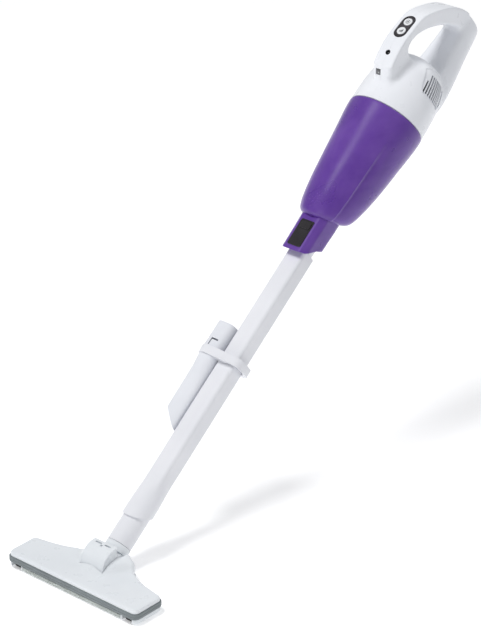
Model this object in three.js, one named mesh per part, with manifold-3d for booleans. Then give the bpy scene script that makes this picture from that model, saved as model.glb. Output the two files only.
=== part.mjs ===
// Cordless stick vacuum cleaner: motor housing with a loop grip, see-through dust capsule,
// straight wand with a clipped-on crevice tool, and a wide floor head on a pitching elbow.
// Millimetres, +X along the floor head, +Y away from its front edge, +Z up.
// Stick parts are modelled along the stick (x, l, h) and then leaned back by TILT.
import * as THREE from 'three';
import { mergeVertices } from 'three/addons/utils/BufferGeometryUtils.js';
import Module from 'manifold-3d';

const wasm = await Module();
wasm.setup();

// ---- driving dimensions ----
const TILT = THREE.MathUtils.degToRad(38.34); // stick above the floor
const FOOT = [0, 60, 28.8]; // where the stick's axis meets l = 0
const GAP = 0.35; // running gap between neighbouring pieces
const WALL = 2.2; // moulded wall

const HEAD_HALF = 114.5; // floor head half width
const HEAD_HALF_DEPTH = 27;
const SOLE_TOP = 3; // thickness of the sole's flat web
const BAND_LOW = 7;
const BAND_HIGH = 15;
const COVER_HIGH = 21;
const PIVOT_Y = 39; // elbow's pitch axis
const PIVOT_Z = 20.8;
const DRUM_R = 26;
const DRUM_HALF = 18;
const HUB_R = 15.5;
const CHEEK_R = 20.5;
const CHEEK_END = 41;
const NOTCH = 20.5; // room for the elbow at the head's rear
const TUBE_R = 17.1; // floor tube
const SLEEVE_R = 19.7; // wand's lower sleeve
const PIPE = 28; // wand's rounded square section
const PIPE_TOP = 471;
const SPIGOT_R = 13.9;

const NECK_LOW = 463;
const CAPSULE_LOW = 526;
const SEAM = 692; // capsule meets housing
const CAPSULE_R = 56;
const BACK_END = 889.5;
const GRIP_HALF = 16;

const PANEL_TILT = THREE.MathUtils.degToRad(-8.1);
const PANEL_AT = [0, 798, 75.05];
const BUTTON_R = 6.6;
const BUTTON_STEP = 8.3; // each button from the panel's middle
const JACK_L = 754;

const CELL_R = 8.65;
const CELL_LONG = 65;
const CELL_FROM = 798;

const TOOL_X = -33.8; // stowed crevice tool's centre
const CLIP_L = 284;
const CLIP_WIDE = 12;

// ---- materials ----
const MATS = {
  white: ['#e4e8ee', 0.38, 0], purple: ['#5a3a98', 0.22, 0],
  black: ['#1e1b20', 0.18, 0], darkgrey: ['#4a4d52', 0.55, 0], band: ['#828b8d', 0.6, 0],
  clear: ['#cfd6d2', 0.3, 0], rubber: ['#2b2c2e', 0.85, 0], steel: ['#b9bcc0', 0.3, 0.9],
  cell: ['#3f6fa8', 0.45, 0], board: ['#2f6b46', 0.55, 0],
  felt: ['#8b8f93', 0.95, 0], cloth: ['#d9d5cc', 0.92, 0], lens: ['#30343a', 0.12, 0],
};

// ---- small solid tools ----
function solid(geometry) {
  const g = geometry.clone();
  for (const name of ['normal', 'uv']) g.deleteAttribute(name);
  const m = mergeVertices(g, 1e-4);
  const p = m.attributes.position.array;
  const t = [];
  const index = m.index.array;
  let volume = 0;
  for (let i = 0; i < index.length; i += 3) {
    const [a, b, c] = [index[i], index[i + 1], index[i + 2]];
    if (a === b || b === c || a === c) continue;
    t.push(a, b, c);
    const [u, v, w] = [a, b, c].map((k) => new THREE.Vector3(p[3 * k], p[3 * k + 1], p[3 * k + 2]));
    volume += u.dot(v.cross(w));
  }
  if (volume < 0) for (let i = 0; i < t.length; i += 3) [t[i], t[i + 1]] = [t[i + 1], t[i]];
  return new wasm.Manifold(new wasm.Mesh({
    numProp: 3, vertProperties: new Float32Array(p), triVerts: new Uint32Array(t),
  }));
}
const union = (...list) => list.reduce((a, b) => a.add(b));
const cut = (body, ...tools) => tools.reduce((a, b) => a.subtract(b), body);

const box = (x0, x1, y0, y1, z0, z1) => solid(
  new THREE.BoxGeometry(x1 - x0, y1 - y0, z1 - z0)
    .translate((x0 + x1) / 2, (y0 + y1) / 2, (z0 + z1) / 2));

// turned about the stick's axis from [radius, l] pairs
const turned = (pairs, seg = 28) => solid(
  new THREE.LatheGeometry(pairs.map(([r, l]) => new THREE.Vector2(r, l)), seg));

// round bar along the stick
const rod = (r, l0, l1, seg = 22, x = 0, h = 0, r1 = r) => solid(
  new THREE.CylinderGeometry(r1, r, l1 - l0, seg).translate(x, (l0 + l1) / 2, h));

// round bar along X
const pin = (r, x0, x1, y, z, seg = 20) => solid(
  new THREE.CylinderGeometry(r, r, x1 - x0, seg).rotateZ(-Math.PI / 2)
    .translate((x0 + x1) / 2, y, z));

function shapeOf(points) {
  return new THREE.Shape(points.map(([a, b]) => new THREE.Vector2(a, b)));
}
function extrude(shape, depth, bevel, seg = 2) {
  return new THREE.ExtrudeGeometry(shape, {
    depth: depth - 2 * bevel, bevelEnabled: bevel > 0, bevelThickness: bevel, bevelSize: bevel,
    bevelOffset: -bevel, bevelSegments: seg, steps: 1, curveSegments: 3,
  }).translate(0, 0, bevel);
}
// side view (l, h) pushed out from x0 to x1
function side(shape, x0, x1, bevel = 0, seg = 2) {
  const g = extrude(shape, x1 - x0, bevel, seg);
  g.applyMatrix4(new THREE.Matrix4().set(0, 0, 1, x0, 1, 0, 0, 0, 0, 1, 0, 0, 0, 0, 0, 1));
  return solid(g);
}
// cross-section (x, h) pushed out from l0 to l1
const bar = (shape, l0, l1, bevel = 0) => solid(
  extrude(shape, l1 - l0, bevel).rotateX(Math.PI / 2).translate(0, l1, 0));
// plan view (x, y) pushed up from z0 to z1
const plan = (shape, z0, z1, bevel = 0, seg = 2) => solid(
  extrude(shape, z1 - z0, bevel, seg).translate(0, 0, z0));

function roundRect(x0, x1, y0, y1, r) {
  const s = new THREE.Shape();
  s.moveTo(x0 + r, y0).lineTo(x1 - r, y0);
  s.absarc(x1 - r, y0 + r, r, -Math.PI / 2, 0);
  s.lineTo(x1, y1 - r).absarc(x1 - r, y1 - r, r, 0, Math.PI / 2);
  s.lineTo(x0 + r, y1).absarc(x0 + r, y1 - r, r, Math.PI / 2, Math.PI);
  s.lineTo(x0, y0 + r).absarc(x0 + r, y0 + r, r, Math.PI, 1.5 * Math.PI);
  return s;
}
// moves every point of a closed outline inwards by d
function inset(points, d) {
  const n = points.length;
  let area = 0;
  points.forEach(([a, b], i) => {
    const [c, e] = points[(i + 1) % n];
    area += a * e - c * b;
  });
  const turn = area > 0 ? 1 : -1;
  return points.map(([a, b], i) => {
    const [pa, pb] = points[(i + n - 1) % n];
    const [na, nb] = points[(i + 1) % n];
    const u = new THREE.Vector2(a - pa, b - pb).normalize();
    const v = new THREE.Vector2(na - a, nb - b).normalize();
    const nu = new THREE.Vector2(-u.y, u.x);
    const m = nu.clone().add(new THREE.Vector2(-v.y, v.x)).normalize();
    const k = d / Math.max(0.5, m.dot(nu)) * turn;
    return [a + m.x * k, b + m.y * k];
  });
}
// skin stretched over rings that all have the same number of points
function loft(rings) {
  const n = rings[0].length;
  const pos = rings.flat(2);
  const idx = [];
  for (let k = 0; k + 1 < rings.length; k++) {
    for (let i = 0; i < n; i++) {
      const [a, b] = [k * n + i, k * n + (i + 1) % n];
      idx.push(a, b, b + n, a, b + n, a + n);
    }
  }
  [0, rings.length - 1].forEach((k) => {
    const mid = [0, 1, 2].map((c) => rings[k].reduce((s, p) => s + p[c], 0) / n);
    const at = pos.push(...mid) / 3 - 1;
    for (let i = 0; i < n; i++) {
      const [a, b] = [k * n + i, k * n + (i + 1) % n];
      if (k === 0) idx.push(at, b, a); else idx.push(at, a, b);
    }
  });
  const g = new THREE.BufferGeometry();
  g.setAttribute('position', new THREE.Float32BufferAttribute(pos, 3));
  g.setAttribute('normal', new THREE.Float32BufferAttribute(pos.slice(), 3));
  g.setIndex(idx);
  return solid(g);
}

// ---- assembling ----
const root = new THREE.Group();
function add(name, body, mat, leaning = true) {
  const mesh = body.getMesh();
  const g = new THREE.BufferGeometry();
  const p = new Float32Array(mesh.vertProperties.length / mesh.numProp * 3);
  for (let i = 0; i < p.length / 3; i++) {
    for (let c = 0; c < 3; c++) p[3 * i + c] = mesh.vertProperties[i * mesh.numProp + c];
  }
  g.setAttribute('position', new THREE.BufferAttribute(p, 3));
  g.setIndex(new THREE.BufferAttribute(new Uint32Array(mesh.triVerts), 1));
  if (leaning) g.rotateX(TILT).translate(...FOOT);
  const [color, roughness, metalness] = MATS[mat];
  const m = new THREE.Mesh(g, new THREE.MeshStandardMaterial({ color, roughness, metalness }));
  m.name = name;
  root.add(m);
}
// a solid given in the leaning stick's coordinates, moved to upright ones
function lean(body) {
  const mesh = body.getMesh();
  const g = new THREE.BufferGeometry();
  g.setAttribute('position', new THREE.BufferAttribute(new Float32Array(mesh.vertProperties), 3));
  g.setAttribute('normal', new THREE.BufferAttribute(new Float32Array(mesh.vertProperties), 3));
  g.setIndex(new THREE.BufferAttribute(new Uint32Array(mesh.triVerts), 1));
  return solid(g.rotateX(TILT).translate(...FOOT));
}

// ---- floor head ----
function headOutline() {
  const s = new THREE.Shape();
  const [w, d, r] = [HEAD_HALF, HEAD_HALF_DEPTH, 9];
  s.moveTo(-w + r, -d).lineTo(w - r, -d);
  s.absarc(w - r, -d + r, r, -Math.PI / 2, 0);
  s.lineTo(w, d - r).absarc(w - r, d - r, r, 0, Math.PI / 2);
  s.bezierCurveTo(78, 31, 52, 38, 44, 50);
  s.bezierCurveTo(40, 57, 38, 61.5, 31, 61.5);
  s.lineTo(NOTCH, 61.5).lineTo(NOTCH, 45.5).lineTo(-NOTCH, 45.5).lineTo(-NOTCH, 61.5);
  s.lineTo(-31, 61.5);
  s.bezierCurveTo(-38, 61.5, -40, 57, -44, 50);
  s.bezierCurveTo(-52, 38, -78, 31, -w + r, d);
  s.absarc(-w + r, d - r, r, Math.PI / 2, Math.PI);
  s.lineTo(-w, -d + r).absarc(-w + r, -d + r, r, Math.PI, 1.5 * Math.PI);
  const points = s.getPoints(4).map((p) => [p.x, p.y]);
  return points.filter(([a, b], i) => {
    const [c, e] = points[(i + 1) % points.length];
    return Math.hypot(a - c, b - e) > 0.05;
  });
}
const OUTLINE = headOutline();
const edge = (d) => shapeOf(inset(OUTLINE, d));
const WHEEL_X = 98;
const WHEEL_Y = -17.8;
const WHEEL_R = 5.2;
const WHEEL_Z = 4;
const SOLE_SCREWS = [[-60, 14], [60, 14], [-26, 56], [26, 56]];
const STRIPS = [['front_lip', 'clear', -23.2, -20.9], ['lint_strip_front', 'felt', -18, -15],
  ['lint_strip_rear', 'felt', 6, 9]];

function soleParts() {
  let sole = union(
    plan(edge(1.6), 0, BAND_LOW - 0.6, 1.2, 1),
    plan(edge(5.4), BAND_LOW - 1.2, BAND_HIGH - 0.4));
  sole = cut(sole,
    box(-21.8, 21.8, 12, 90, SOLE_TOP, 40),
    plan(roundRect(-106.4, 106.4, -18.8, 18.8, 3), SOLE_TOP, BAND_HIGH + 1),
    plan(roundRect(-88, 88, -13, -3, 3), -1, SOLE_TOP + 1),
    box(-HEAD_HALF - 1, -80, -7.6, -3.6, -1, 2.2), box(80, HEAD_HALF + 1, -7.6, -3.6, -1, 2.2));
  for (const s of [-1, 1]) {
    const [a, b] = [s * WHEEL_X - 8.4, s * WHEEL_X + 8.4];
    sole = cut(sole, box(a, b, -HEAD_HALF_DEPTH - 2, -8, -2, 12.2));
  }
  for (const [, , y0, y1] of STRIPS) { // grooves for the strips, which lie flush
    sole = cut(sole, plan(roundRect(-86.35, 86.35, y0 - GAP, y1 + GAP, 1.3), -1, 1.3));
  }
  for (const [x, y] of SOLE_SCREWS) {
    sole = cut(sole, lean0(3, x, y, -1, 1.4), lean0(1.5, x, y, -1, 5));
  }
  add('sole_plate', sole, 'clear', false);
  add('bumper_band', cut(plan(edge(0), BAND_LOW, BAND_HIGH, 1.2, 1),
    plan(edge(5), BAND_LOW - 1, BAND_HIGH + 1), box(-21.8, 21.8, 20, 90, 0, 40),
    ...[-1, 1].map((s) => box(s * WHEEL_X - 8.4, s * WHEEL_X + 8.4, -23.4, -10, 0, 10))),
  'band', false);
  for (const [name, mat, y0, y1] of STRIPS) {
    add(name, plan(roundRect(-86, 86, y0, y1, 1), 0.05, 1), mat, false);
  }
}
// upright round hole or post
function lean0(r, x, y, z0, z1, seg = 12) {
  return solid(new THREE.CylinderGeometry(r, r, z1 - z0, seg).rotateX(Math.PI / 2)
    .translate(x, y, (z0 + z1) / 2));
}
function soleScrews() {
  SOLE_SCREWS.forEach(([x, y], i) => {
    const screw = union(lean0(2.6, x, y, 0.1, 1.1, 10), lean0(1.2, x, y, 1, 2.9, 8));
    add(`sole_screw_${i + 1}`, cut(screw, box(x - 1.8, x + 1.8, y - 0.35, y + 0.35, -0.5, 0.6),
      box(x - 0.35, x + 0.35, y - 1.8, y + 1.8, -0.5, 0.6)), 'steel', false);
  });
}
function frontWheels() {
  [['left', -1], ['right', 1]].forEach(([label, s]) => {
    const x = s * WHEEL_X;
    const arm = (a, b) => union(
      pin(3.3, a, b, WHEEL_Y, WHEEL_Z, 14), box(a, b, WHEEL_Y - 3, -8.4, WHEEL_Z, 9.6));
    const fork = cut(union(arm(x - 8, x - 5.6), arm(x + 5.6, x + 8),
      box(x - 8, x + 8, -11, -8.4, 1, 9.6)),
    pin(1.6, x - 9, x + 9, WHEEL_Y, WHEEL_Z, 16));
    add(`wheel_fork_${label}`, fork, 'darkgrey', false);
    add(`front_wheel_${label}`, cut(pin(WHEEL_R, x - 5.2, x + 5.2, WHEEL_Y, WHEEL_Z, 28),
      pin(1.85, x - 6, x + 6, WHEEL_Y, WHEEL_Z, 16)), 'rubber', false);
    add(`wheel_axle_${label}`, pin(1.5, x - 7.8, x + 7.8, WHEEL_Y, WHEEL_Z, 16), 'steel', false);
  });
}
function headCover() {
  const ends = (r) => union(
    solid(new THREE.SphereGeometry(r, 16, 8).scale(0.45, 1, 1).rotateX(0.2)
      .translate(-CHEEK_END + 4, PIVOT_Y, PIVOT_Z)),
    solid(new THREE.SphereGeometry(r, 16, 8).scale(0.45, 1, 1).rotateX(0.2)
      .translate(CHEEK_END - 4, PIVOT_Y, PIVOT_Z)));
  const rounded = union(pin(CHEEK_R, -CHEEK_END + 4, CHEEK_END - 4, PIVOT_Y, PIVOT_Z, 28),
    ends(CHEEK_R));
  const low = BAND_HIGH + 0.3;
  let cover = union(plan(edge(1.8), low, COVER_HIGH, 2.6, 2),
    cut(rounded, box(-80, 80, -40, 120, -40, low)));
  const hollow = union(plan(edge(4.6), low - 5, COVER_HIGH - 2.6),
    cut(union(pin(CHEEK_R - 2.6, DRUM_HALF + 3, CHEEK_END - 3, PIVOT_Y, PIVOT_Z, 26),
      pin(CHEEK_R - 2.6, -CHEEK_END + 3, -DRUM_HALF - 3, PIVOT_Y, PIVOT_Z, 26)),
    box(-80, 80, -40, 120, -60, low - 4)));
  cover = cut(cover, hollow);
  for (const s of [-1, 1]) { // ears that carry the pivots
    const [a, b] = s < 0 ? [-DRUM_HALF - 3.2, -DRUM_HALF - 0.5]
      : [DRUM_HALF + 0.5, DRUM_HALF + 3.2];
    cover = union(cover, cut(pin(CHEEK_R - 1, a, b, PIVOT_Y, PIVOT_Z, 28),
      box(-80, 80, -40, 120, -60, 4.6)));
  }
  cover = cut(cover,
    pin(DRUM_R + 0.7, -DRUM_HALF - 0.5, DRUM_HALF + 0.5, PIVOT_Y, PIVOT_Z, 36),
    box(-DRUM_HALF - 0.5, DRUM_HALF + 0.5, PIVOT_Y, 90, 2, 60),
    box(-DRUM_HALF - 0.5, DRUM_HALF + 0.5, 13, PIVOT_Y, -5, PIVOT_Z),
    pin(4.3, -DRUM_HALF - 9, DRUM_HALF + 9, PIVOT_Y, PIVOT_Z, 18));
  add('head_cover', cover, 'white', false);
  [['left', -1], ['right', 1]].forEach(([label, s]) => {
    const peg = s < 0 ? pin(4, -DRUM_HALF - 3, -DRUM_HALF + 5, PIVOT_Y, PIVOT_Z, 18)
      : pin(4, DRUM_HALF - 5, DRUM_HALF + 3, PIVOT_Y, PIVOT_Z, 18);
    const flange = s < 0 ? pin(6, -DRUM_HALF - 5, -DRUM_HALF - 3.4, PIVOT_Y, PIVOT_Z, 18)
      : pin(6, DRUM_HALF + 3.4, DRUM_HALF + 5, PIVOT_Y, PIVOT_Z, 18);
    const neck = s < 0 ? pin(4, -DRUM_HALF - 3.6, -DRUM_HALF - 2.8, PIVOT_Y, PIVOT_Z, 18)
      : pin(4, DRUM_HALF + 2.8, DRUM_HALF + 3.6, PIVOT_Y, PIVOT_Z, 18);
    add(`pivot_pin_${label}`, union(peg, flange, neck), 'steel', false);
  });
}
function elbowPart() {
  const sector = [];
  for (let k = 0; k <= 10; k++) {
    const a = THREE.MathUtils.degToRad(84 + (178 - 84) * k / 10);
    sector.push([PIVOT_Y + DRUM_R * Math.cos(a), PIVOT_Z + DRUM_R * Math.sin(a)]);
  }
  sector.push([PIVOT_Y, PIVOT_Z]);
  const visor = side(shapeOf(sector), -DRUM_HALF, DRUM_HALF);
  const hub = pin(HUB_R, -DRUM_HALF, DRUM_HALF, PIVOT_Y, PIVOT_Z, 26);
  const stub = lean(union(rod(13.2, -16, 6.5, 26), rod(18.4, 1, 6.5, 30), rod(12.9, 5, 24, 26)));
  const passage = lean(union(rod(10.6, -20, 30, 28), rod(10.6, -34, -18, 28, 0, 4, 10.6)));
  const mouth = box(-11, 11, PIVOT_Y - 11, PIVOT_Y + 7, -10, PIVOT_Z - 5);
  let elbow = cut(union(visor, hub, stub), passage, mouth);
  elbow = cut(elbow, pin(4.25, -DRUM_HALF - 1, -DRUM_HALF + 5.6, PIVOT_Y, PIVOT_Z, 18),
    pin(4.25, DRUM_HALF - 5.6, DRUM_HALF + 1, PIVOT_Y, PIVOT_Z, 18));
  add('elbow', elbow, 'white', false);
}

// ---- stick ----
function floorTube() {
  add('floor_tube', cut(
    turned([[0, 7], [18.2, 7], [18.4, 8], [18.2, 11], [TUBE_R, 12.5], [TUBE_R, 58], [16.9, 60],
      [16.7, 93], [15.9, 94], [0, 94]], 28),
    turned([[0, 6], [13.4, 6], [13.4, 90], [15, 95], [0, 95]], 24)), 'white');
}
function wandPart() {
  const half = PIPE / 2;
  const section = roundRect(-half, half, -half, half, 5.5);
  let wand = union(bar(section, 92, PIPE_TOP),
    turned([[0, 38], [SLEEVE_R, 38], [19.5, 64], [18.9, 84], [17.6, 98], [15, 108], [0, 112]], 30),
    rod(SPIGOT_R, PIPE_TOP - 1, 511, 24));
  wand = cut(wand, rod(TUBE_R + 0.35, 30, 95.5, 28), rod(12, 90, 520, 24));
  const slope = 0.5; // the sleeve's mouth is cut back underneath
  const line = [[20, 34], [53 - slope * 25, 25], [53 + slope * 25, -25], [20, -34]];
  wand = cut(wand, side(shapeOf(line), -30, 30));
  add('wand', wand, 'white');
}
function clipPart() {
  const [l0, l1] = [CLIP_L, CLIP_L + CLIP_WIDE];
  const half = PIPE / 2;
  const toolR = 17;
  const outer = union(
    bar(roundRect(-half - 3.4, half + 3.4, -half - 5, half + 3.4, 8), l0, l1, 1),
    rod(toolR + 3, l0, l1, 36, TOOL_X - 1.2, 8));
  const room = roundRect(-half - GAP, half + GAP, -half - GAP, half + GAP, 5.6);
  const inner = union(bar(room, l0 - 1, l1 + 1),
    rod(toolR + 0.45, l0 - 1, l1 + 1, 36, TOOL_X - 1.2, 8),
    bar(roundRect(-64, TOOL_X - 11, 1, 15, 1), l0 - 1, l1 + 1));
  add('holder_clip', cut(outer, inner), 'white');
}
function creviceTool() {
  const ring = (l, a, b, xc, hc) => {
    const pts = [];
    for (let i = 0; i < 24; i++) {
      const t = 2 * Math.PI * i / 24;
      const [c, s] = [Math.cos(t), Math.sin(t)];
      const k = 1 / Math.pow(Math.pow(Math.abs(c), 2.6) + Math.pow(Math.abs(s), 2.6), 1 / 2.6);
      const round = a === b ? 1 : k;
      pts.push([xc + a * c * round, l, hc + b * s * round]);
    }
    return pts;
  };
  const x = TOOL_X - 1.2;
  const shell = (d) => loft([
    ring(174 - (d ? 1 : 0), 16.4 - d, 7.2 - d, x, 9.5), ring(235, 16.6 - d, 9 - d, x, 9),
    ring(272, 16.3 - d, 14.4 - d, x, 8.2), ring(281, 17 - d, 17 - d, x, 8),
    ring(338 + (d ? 1 : 0), 17 - d, 17 - d, x, 8)]);
  const slant = solid(new THREE.BoxGeometry(90, 60, 80).translate(0, -30, 0)
    .rotateZ(-0.83).translate(x + 16.5, 176.5, 8));
  let tool = cut(shell(0), shell(1.9), slant);
  tool = cut(tool, box(x - 19, x - 12.5, 302, 312, 4, 12));
  add('crevice_tool', tool, 'white');
}

// ---- capsule ----
function capsuleParts() {
  const outer = turned([[0, CAPSULE_LOW], [20, CAPSULE_LOW], [29, 529], [36.5, 536.4], [42.2, 547.6],
    [47.2, 565], [51, 592], [53.9, 628], [CAPSULE_R, 678], [55.8, SEAM - 0.4],
    [0, SEAM - 0.4]], 32);
  const hollow = turned([[0, 530], [21, 530], [27.6, 532.4], [34.4, 539], [40, 549], [44.9, 566],
    [48.7, 593], [51.6, 629], [53.6, 678], [53.6, SEAM + 2], [0, SEAM + 2]], 32);
  const section = (w, top, low) => {
    const pts = [[-0.64 * w, top], [0.64 * w, top], [0.85 * w, top - 2.6], [w, top - 7], [w, -2.5]];
    for (let k = 1; k <= 9; k++) {
      const a = -0.12 - (Math.PI - 0.24) * k / 10;
      pts.push([w * Math.cos(a), low * Math.abs(Math.sin(a)) * -1 - 2.5]);
    }
    pts.push([-w, -2.5], [-w, top - 7], [-0.85 * w, top - 2.6]);
    return pts;
  };
  const neck = loft([[440, 21.4, 26, 16.4], [505, 22, 26.6, 17.5], [528, 24, 28, 20],
    [534, 26, 29, 23]].map(([l, w, top, low]) => section(w, top, low).map(([x, h]) => [x, l, h])));
  const mouth = side(shapeOf([[430, 60], [432, 60], [NECK_LOW, 24], [NECK_LOW + 0.5, 21],
    [484, -2.5], [487, -12], [487, -40], [430, -40]]), -40, 40);
  let shell = union(cut(outer, hollow), cut(cut(neck, mouth), hollow),
    cut(rod(14.6, 528, 560, 24), rod(5, 500, 502, 8)));
  shell = cut(shell, rod(SPIGOT_R + 0.35, 400, 514, 24), rod(12, 500, 570, 32),
    bar(roundRect(-14.6, 14.6, -14.6, 14.6, 5.8), 440, PIPE_TOP + 0.6),
    plan2(roundRect(-11.4, 11.4, 467.4, 508.4, 2.6), 24.6, 40));
  // lugs that hold the flap's pin
  for (const s of [-1, 1]) {
    shell = union(shell, box(s * 9 - 1.4, s * 9 + 1.4, 548, 565.6, 11.4, 18.4));
  }
  shell = cut(shell, pin(1.35, -12, 12, 563, 16, 16), rod(12, 500, 570, 24));
  add('dust_capsule', shell, 'purple');
  const panel = union(plan2(roundRect(-11, 11, 467.8, 508, 2.3), 24.9, 27.1, 0.5),
    plan2(roundRect(-8.6, 8.6, 495.4, 505.6, 2), 26.4, 27.9, 0.5));
  add('neck_panel', panel, 'black');
  add('check_flap', cut(union(rod(13.4, 560.5, 562, 32), box(-7, 7, 560.5, 562, 8, 17.5),
    pin(2.5, -7, 7, 563, 16, 16)), pin(1.3, -9, 9, 563, 16, 16)), 'rubber');
  add('flap_pin', pin(1, -10.2, 10.2, 563, 16, 14), 'steel');
}
// plan view (x, l) pushed up from h0 to h1, still in stick coordinates
function plan2(shape, h0, h1, bevel = 0) {
  return plan(shape, h0, h1, bevel, 1);
}
function filterParts() {
  let frame = turned([[34, 672], [52.6, 672], [52.6, 678.6], [49, 678.6], [49, 674.4], [36.4, 674.4],
    [30.5, 640], [18.4, 590.4], [0, 590.4], [0, 588.6], [20, 588.6], [32.2, 640], [34, 672]], 24);
  for (let k = 0; k < 4; k++) {
    const win = new THREE.BoxGeometry(26, 66, 60).translate(0, 633, 33).rotateY(k * Math.PI / 2);
    frame = cut(frame, solid(win));
  }
  add('filter_frame', frame, 'darkgrey');
  add('filter_cloth', turned([[34.6, 671.4], [39.8, 671.4], [41.6, 660], [36, 630], [23, 586.4],
    [0, 584.6], [0, 587.8], [20.8, 588], [33, 640], [34.6, 671.4]], 28), 'cloth');
  add('seal_ring', turned([[47, 679.2], [53, 679.2], [53, 681.8], [47, 681.8], [47, 679.2]], 28),
    'rubber');
}

// ---- housing ----
const ARCH_TOP = [[719, 48], [719.5, 56], [733.2, 71.6], [745, 74.6], [760, 77.2],
  [770, 78.2], [778, 77.9], [818, 72.2], [827, 67.4], [838, 59.6], [850, 49], [862, 37],
  [870, 27.4], [877, 16], [883, 3.4], [887, -9], [889, -22], [BACK_END, -36], [888.4, -46],
  [884, -52.4], [877, -55.2]];
const ARCH_LOW = [[800, -55.2], [780, -30], [735, -30], [719, 30]];
const LOOP = [[773.4, 55], [776.4, 59.4], [782, 61.4], [790, 60.9], [802, 56.2], [813.5, 48.6],
  [827, 37], [839.5, 23.8], [850, 8.6], [856.4, -4], [858.6, -12], [856, -17.6], [845, -19.4],
  [820, -18.6], [797, -17.6], [789, 8], [779, 28], [772.6, 47]];
const DOME = [[55.4, SEAM + 0.4], [55.2, 714], [54.4, 738], [51.6, 761], [47.2, 775.6], [39, 787.4],
  [26, 795.4], [0, 799.6]];

function spineRing(l, top, ridge, wide, low, d) {
  const [w, r, b] = [wide - d, ridge - d, low + d];
  const right = [[0, top - d], [r * 0.6, top - 0.4 - d], [r, top - 3 - d], [w * 0.94, -30],
    [w, -40], [w * 0.96, -46.5], [w * 0.82, -52.2 + d], [w * 0.5, b], [0, b]];
  const left = right.slice(1, -1).reverse().map(([x, h]) => [-x, h]);
  return right.concat(left).map(([x, h]) => [x, l, h]);
}
function spine(d) {
  const end = 886.4 - d;
  return loft([spineRing(742, -10, 26, 36, -52.8, d), spineRing(775, -12, 24, 31, -54.6, d),
    spineRing(800, -15, 19.5, 26, -55.4, d), spineRing(825, -15.8, 18, 23.4, -55.6, d),
    spineRing(862, -16.4, 17, 21, -55.4, d), spineRing(end - 6, -17, 16.2, 19.6, -54 + d * 0.4, d),
    spineRing(end, -20, 13.4, 16, -49.6, d)]);
}
const flat = (points, x) => points.map(([l, h]) => [x, l, h]);
function loopCutter(d, half, flare) {
  const hole = inset(LOOP, -d);
  const wide = inset(LOOP, -d - flare);
  return loft([flat(wide, -half - 0.1), flat(hole, -half + flare), flat(hole, half - flare),
    flat(wide, half + 0.1)]);
}
function housingBody() {
  const dome = turned([[0, SEAM + 0.4], ...DOME], 34);
  const outline = [...ARCH_TOP, ...ARCH_LOW];
  const arch = cut(side(shapeOf(outline), -GRIP_HALF, GRIP_HALF, 2.6, 2),
    loopCutter(0, GRIP_HALF, 2.4));
  const full = union(dome, arch, spine(0));
  const domeIn = turned([[0, SEAM - 1], [53.2, SEAM - 1], [53, 714], [52.2, 738],
    ...DOME.slice(3, -2).map(([r, l]) => [r - WALL, l - 1]), [0, 796]], 34);
  const inside = cut(side(shapeOf(inset(outline, 2.4)), -GRIP_HALF + 2.4, GRIP_HALF - 2.4),
    side(shapeOf(inset(LOOP, -2.6)), -40, 40));
  return cut(full, domeIn, inside, spine(WALL));
}
function onPanel(geometry) {
  return geometry.rotateX(PANEL_TILT).translate(...PANEL_AT);
}
const FACE_TILT = Math.atan2(15.6, 13.7);
function onFace(geometry) {
  return geometry.rotateX(FACE_TILT).translate(-5, 727.4, 65);
}
const disc = (r, up0, up1, along, seg = 20) => new THREE.CylinderGeometry(r, r, up1 - up0, seg)
  .rotateX(Math.PI / 2).translate(0, along, (up0 + up1) / 2);
function pill(half, long) {
  const s = new THREE.Shape();
  s.absarc(0, long - half, half, 0, Math.PI);
  s.absarc(0, -long + half, half, Math.PI, 2 * Math.PI);
  return s;
}
function ventSlots() {
  const slots = [];
  for (const s of [-1, 1]) {
    for (let k = 0; k < 9; k++) {
      const a = THREE.MathUtils.degToRad(21 - 5.2 * k);
      const [from, to] = [737, k === 0 ? 752 : 764];
      slots.push(solid(new THREE.BoxGeometry(16, to - from, 1.9)
        .translate(50, (from + to) / 2, 0).rotateY(-a).scale(s, 1, 1)));
    }
  }
  return slots;
}

function housingParts() {
  const shell = housingBody();
  const openings = [
    solid(onPanel(new THREE.ExtrudeGeometry(pill(10.3, 20.3), {
      depth: 30, bevelEnabled: false, curveSegments: 6 }).translate(0, 0, -1.7))),
    ...[-1, 1].map((s) => solid(onPanel(disc(7.4, -9, 1, s * BUTTON_STEP)))),
    solid(new THREE.CylinderGeometry(4.1, 4.1, 30, 24).rotateX(Math.PI / 2)
      .translate(0, JACK_L, 80)),
    solid(onFace(new THREE.BoxGeometry(7.2, 7.2, 30))),
    ...ventSlots()];
  for (const [label, s] of [['left', -1], ['right', 1]]) {
    const keep = s < 0 ? box(-0.15, 90, 600, 1000, -120, 120)
      : box(-90, 0.15, 600, 1000, -120, 120);
    let body = cut(shell, keep, ...openings);
    // seat that grips the motor's rubber ring
    const seat = cut(turned([[44.2, 728], [53, 728], [53, 731], [44.2, 731], [44.2, 728]], 30), keep);
    body = union(body, seat);
    add(`housing_${label}`, body, 'white');
  }
}
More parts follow.
